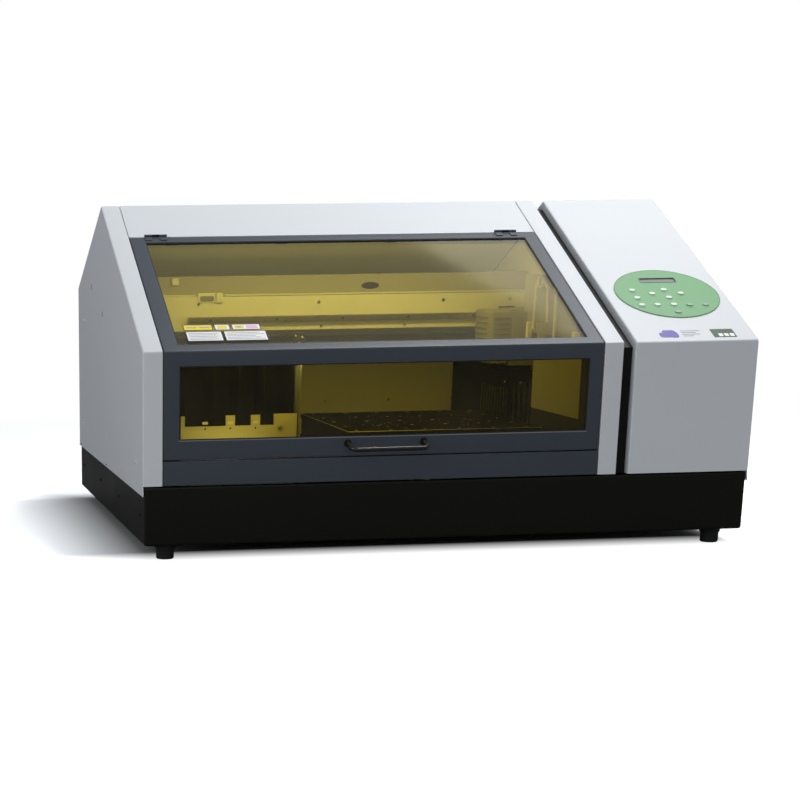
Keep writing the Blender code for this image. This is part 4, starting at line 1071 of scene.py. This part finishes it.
def make_board_details():
    """Capacitors and connectors on the circuit board."""
    low, high = box_of("circuit_board")
    draw = random.Random(7)
    cans = Shape("board_capacitors", "aluminium")
    plugs = Shape("board_connectors", "label_white")
    face = low.x + 1.6
    for _ in range(12):
        y = low.y + 15 + 280 * draw.random()
        z = low.z + 12 + 30 * draw.random()
        radius = 3 + 3 * draw.random()
        cans.stud(at((face, y, z), X), [(radius, 9), (radius * 0.9, 10)], 20)
    for y in spaced(low.y + 20, high.y - 20, 8):
        plugs.slab(at((face, y, high.z - 8), X), 22, 7, 8, 0.8, 0.5)


def make_pulley_caps():
    """A cap screw and washer under each pulley."""
    for node in ("motor_pulley", "idler_pulley"):
        shape = Shape(node + "_cap", "steel", node)
        face = face_place(node, "bottom")
        shape.stud(face, [(5, 0.8)])
        shape.cap_screw(shifted(face, z=0.8), 2.6)


# ---- floor, light and camera

def floor_material():
    """Pale floor. Its shown colour carries a painted shadow that darkens it towards the left side of the machine
    and a painted light under the front edge, and it fades to white far away. It bounces less light than it shows,
    and mirrors still less.
    """
    material, tree, output = new_material("floor")
    coords = add(tree, "TexCoord").outputs["Object"]
    along = add(tree, "SeparateXYZ", {0: coords}).outputs
    path = add(tree, "LightPath").outputs
    seen = path["Is Camera Ray"]
    low, high = box_of("base_tray", METRE)
    # Painted shadow: the shown colour drops near the left, right and back sides of the base
    left = remap(tree, along["X"], low.x + 0.016, low.x - 0.150, 0.30, 1.70)
    right = remap(tree, along["X"], high.x - 0.04, high.x, 0.30, 1.0)
    behind = remap(tree, along["Y"], high.y - 0.02, high.y + 0.06, 0.30, 1.0)
    shade = calc(tree, "MAXIMUM", calc(tree, "MAXIMUM", left, right), behind)
    grain = noise(tree, coords, 60.0, 3.0)
    shown = mix_color(tree, grain, (1.50, 1.50, 1.50, 1), (1.55, 1.55, 1.55, 1))
    shown = times(tree, shown, shade)
    unseen = mix_color(tree, path["Is Glossy Ray"], (0.48, 0.48, 0.48, 1), (0.14, 0.14, 0.14, 1))
    color = mix_color(tree, seen, unseen, shown)
    matte = add(tree, "BsdfDiffuse", {"Color": color}).outputs[0]
    away = add(tree, "VectorMath", {0: coords}, operation="LENGTH").outputs["Value"]
    fade = calc(tree, "MULTIPLY", remap(tree, away, 0.9, 2.2), seen)
    white = add(tree, "Emission", {"Color": (1, 1, 1, 1), "Strength": 1.0}).outputs[0]
    surface = add(tree, "MixShader", {0: fade, 1: matte, 2: white}).outputs[0]
    # Painted light: a glow shown just under the front edge, lifting the shadow there
    front = remap(tree, along["Y"], low.y + 0.095, low.y + 0.010, 0.0, 0.90)
    front = calc(tree, "MULTIPLY", front, seen)
    front = add(tree, "Emission", {"Color": (1, 1, 1, 1), "Strength": front}).outputs[0]
    surface = add(tree, "AddShader", {0: surface, 1: front}).outputs[0]
    tree.links.new(surface, output.inputs["Surface"])
    return material


def make_floor():
    """A wide pale floor under the machine."""
    bm = bmesh.new()
    bmesh.ops.create_grid(bm, x_segments=1, y_segments=1, size=30.0)
    mesh = bpy.data.meshes.new("floor")
    bm.to_mesh(mesh)
    bm.free()
    mesh.materials.append(floor_material())
    new_object("floor", mesh)


def make_world():
    """White behind the machine, with a dimmer white as the ambient light."""
    world = bpy.data.worlds.new("studio")
    world.use_nodes = True
    tree = world.node_tree
    tree.nodes.clear()
    seen = add(tree, "LightPath").outputs["Is Camera Ray"]
    dim = add(tree, "Background", {"Color": (0.95, 1.0, 1.06, 1), "Strength": 0.31}).outputs[0]
    white = add(tree, "Background", {"Color": (1, 1, 1, 1), "Strength": 1.0}).outputs[0]
    surface = add(tree, "MixShader", {0: seen, 1: dim, 2: white}).outputs[0]
    output = tree.nodes.new("ShaderNodeOutputWorld")
    tree.links.new(surface, output.inputs["Surface"])
    bpy.context.scene.world = world


def softbox(name, place, target, size, power, depth=None):
    """A rectangular area light aimed at a point. It is square unless its depth is given."""
    light = bpy.data.lights.new(name, "AREA")
    light.shape = "RECTANGLE"
    light.size = size
    light.size_y = depth or size
    light.energy = power
    lamp = new_object(name, light)
    lamp.location = place
    lamp.rotation_euler = (Vector(target) - Vector(place)).to_track_quat("-Z", "Y").to_euler()
    return lamp


def make_lights():
    """A large soft light above, weak ones behind, on the left and in front, and three strips in the
    chamber. The strips light it without being seen or mirrored.
    """
    centre = Vector((0, 0, 0.3))
    softbox("key", (0.74, 0.10, 2.6), centre, 1.2, 44)
    softbox("haze", (1.7, 2.1, 2.5), centre, 1.5, 6.5)
    softbox("left_fill", (-2.4, -1.4, 1.1), centre, 1.6, 13)
    low, high = box_of("slope_window", METRE)
    middle = (low.x + high.x) / 2
    slots_low, slots_high = box_of("slot_plate", METRE)
    slots = (slots_low.x + slots_high.x) / 2
    strips = (
        ("chamber_upper", (middle, high.y + 0.02, high.z - 0.030), (middle, 0.20, 0.20), 0.60, 0.50),
        ("chamber_lower", (middle - 0.07, low.y + 0.035, low.z - 0.014), (middle - 0.07, 0.15, 0.25),
         0.42, 0.26),
        ("slot_fill", (slots - 0.03, slots_low.y - 0.045, 0.168), (slots - 0.03, slots_low.y, 0.215),
         0.12, 0.020))
    for name, place, target, size, power in strips:
        strip = softbox(name, place, target, size, power, 0.02)
        strip.visible_camera = False
        strip.visible_glossy = False
        strip.visible_transmission = False
    softbox("front_fill", (-0.6, -4.0, 1.6), centre, 2.0, 9)


def make_camera():
    """The camera at the photographed angle. Its lens shift applies only while it stands there."""
    data = bpy.data.cameras.new("camera")
    camera = new_object("camera", data)
    sin_a, cos_a = math.sin(CAMERA_AZIMUTH), math.cos(CAMERA_AZIMUTH)
    sin_e, cos_e = math.sin(CAMERA_ELEVATION), math.cos(CAMERA_ELEVATION)
    forward = Vector((sin_a * cos_e, cos_a * cos_e, -sin_e))
    right = Vector((cos_a, -sin_a, 0))
    up = right.cross(forward)
    turn = Matrix.Rotation(CAMERA_ROLL, 3, -forward)
    axes = Matrix((turn @ right, turn @ up, -forward)).transposed()
    camera.matrix_world = Matrix.Translation(CAMERA_PLACE) @ axes.to_4x4()
    data.lens = CAMERA_LENS
    data.clip_end = 100
    for path, shift in zip(("shift_x", "shift_y"), CAMERA_SHIFT):
        driver = data.driver_add(path).driver
        variable = driver.variables.new()
        variable.name = "x"
        variable.type = "TRANSFORMS"
        variable.targets[0].id = camera
        variable.targets[0].transform_type = "LOC_X"
        driver.expression = f"{shift} * (abs(x - {CAMERA_PLACE.x:.5f}) < 0.001)"
    bpy.context.scene.camera = camera


# ---- assembly

FINISH = cad_materials()
SMOOTHING = smoothing_group()
SLOPE_START = slope_start()
dress_cad_nodes()

make_gaskets()
make_window_edge_highlight()
make_pane_clips()
make_handle_washers()
make_window_labels()
make_side_marks()
make_base_details()
make_panel_marks()
make_stickers()
make_rail_screws()
make_beam_details()
make_carriage_details()
make_motor_details()
make_slot_plate_details()
make_cartridges()
make_table_details()
make_station_details()
make_wall_fittings()
make_roof_lining()
make_partition_bracket()
make_wall_details()
make_feed_details()
make_exhaust_grille()
make_rear_details()
make_board_details()
make_pulley_caps()
for shape in Shape.made:
    shape.finish()

bpy.context.scene.view_settings.view_transform = "Standard"
make_floor()
make_world()
make_lights()
make_camera()
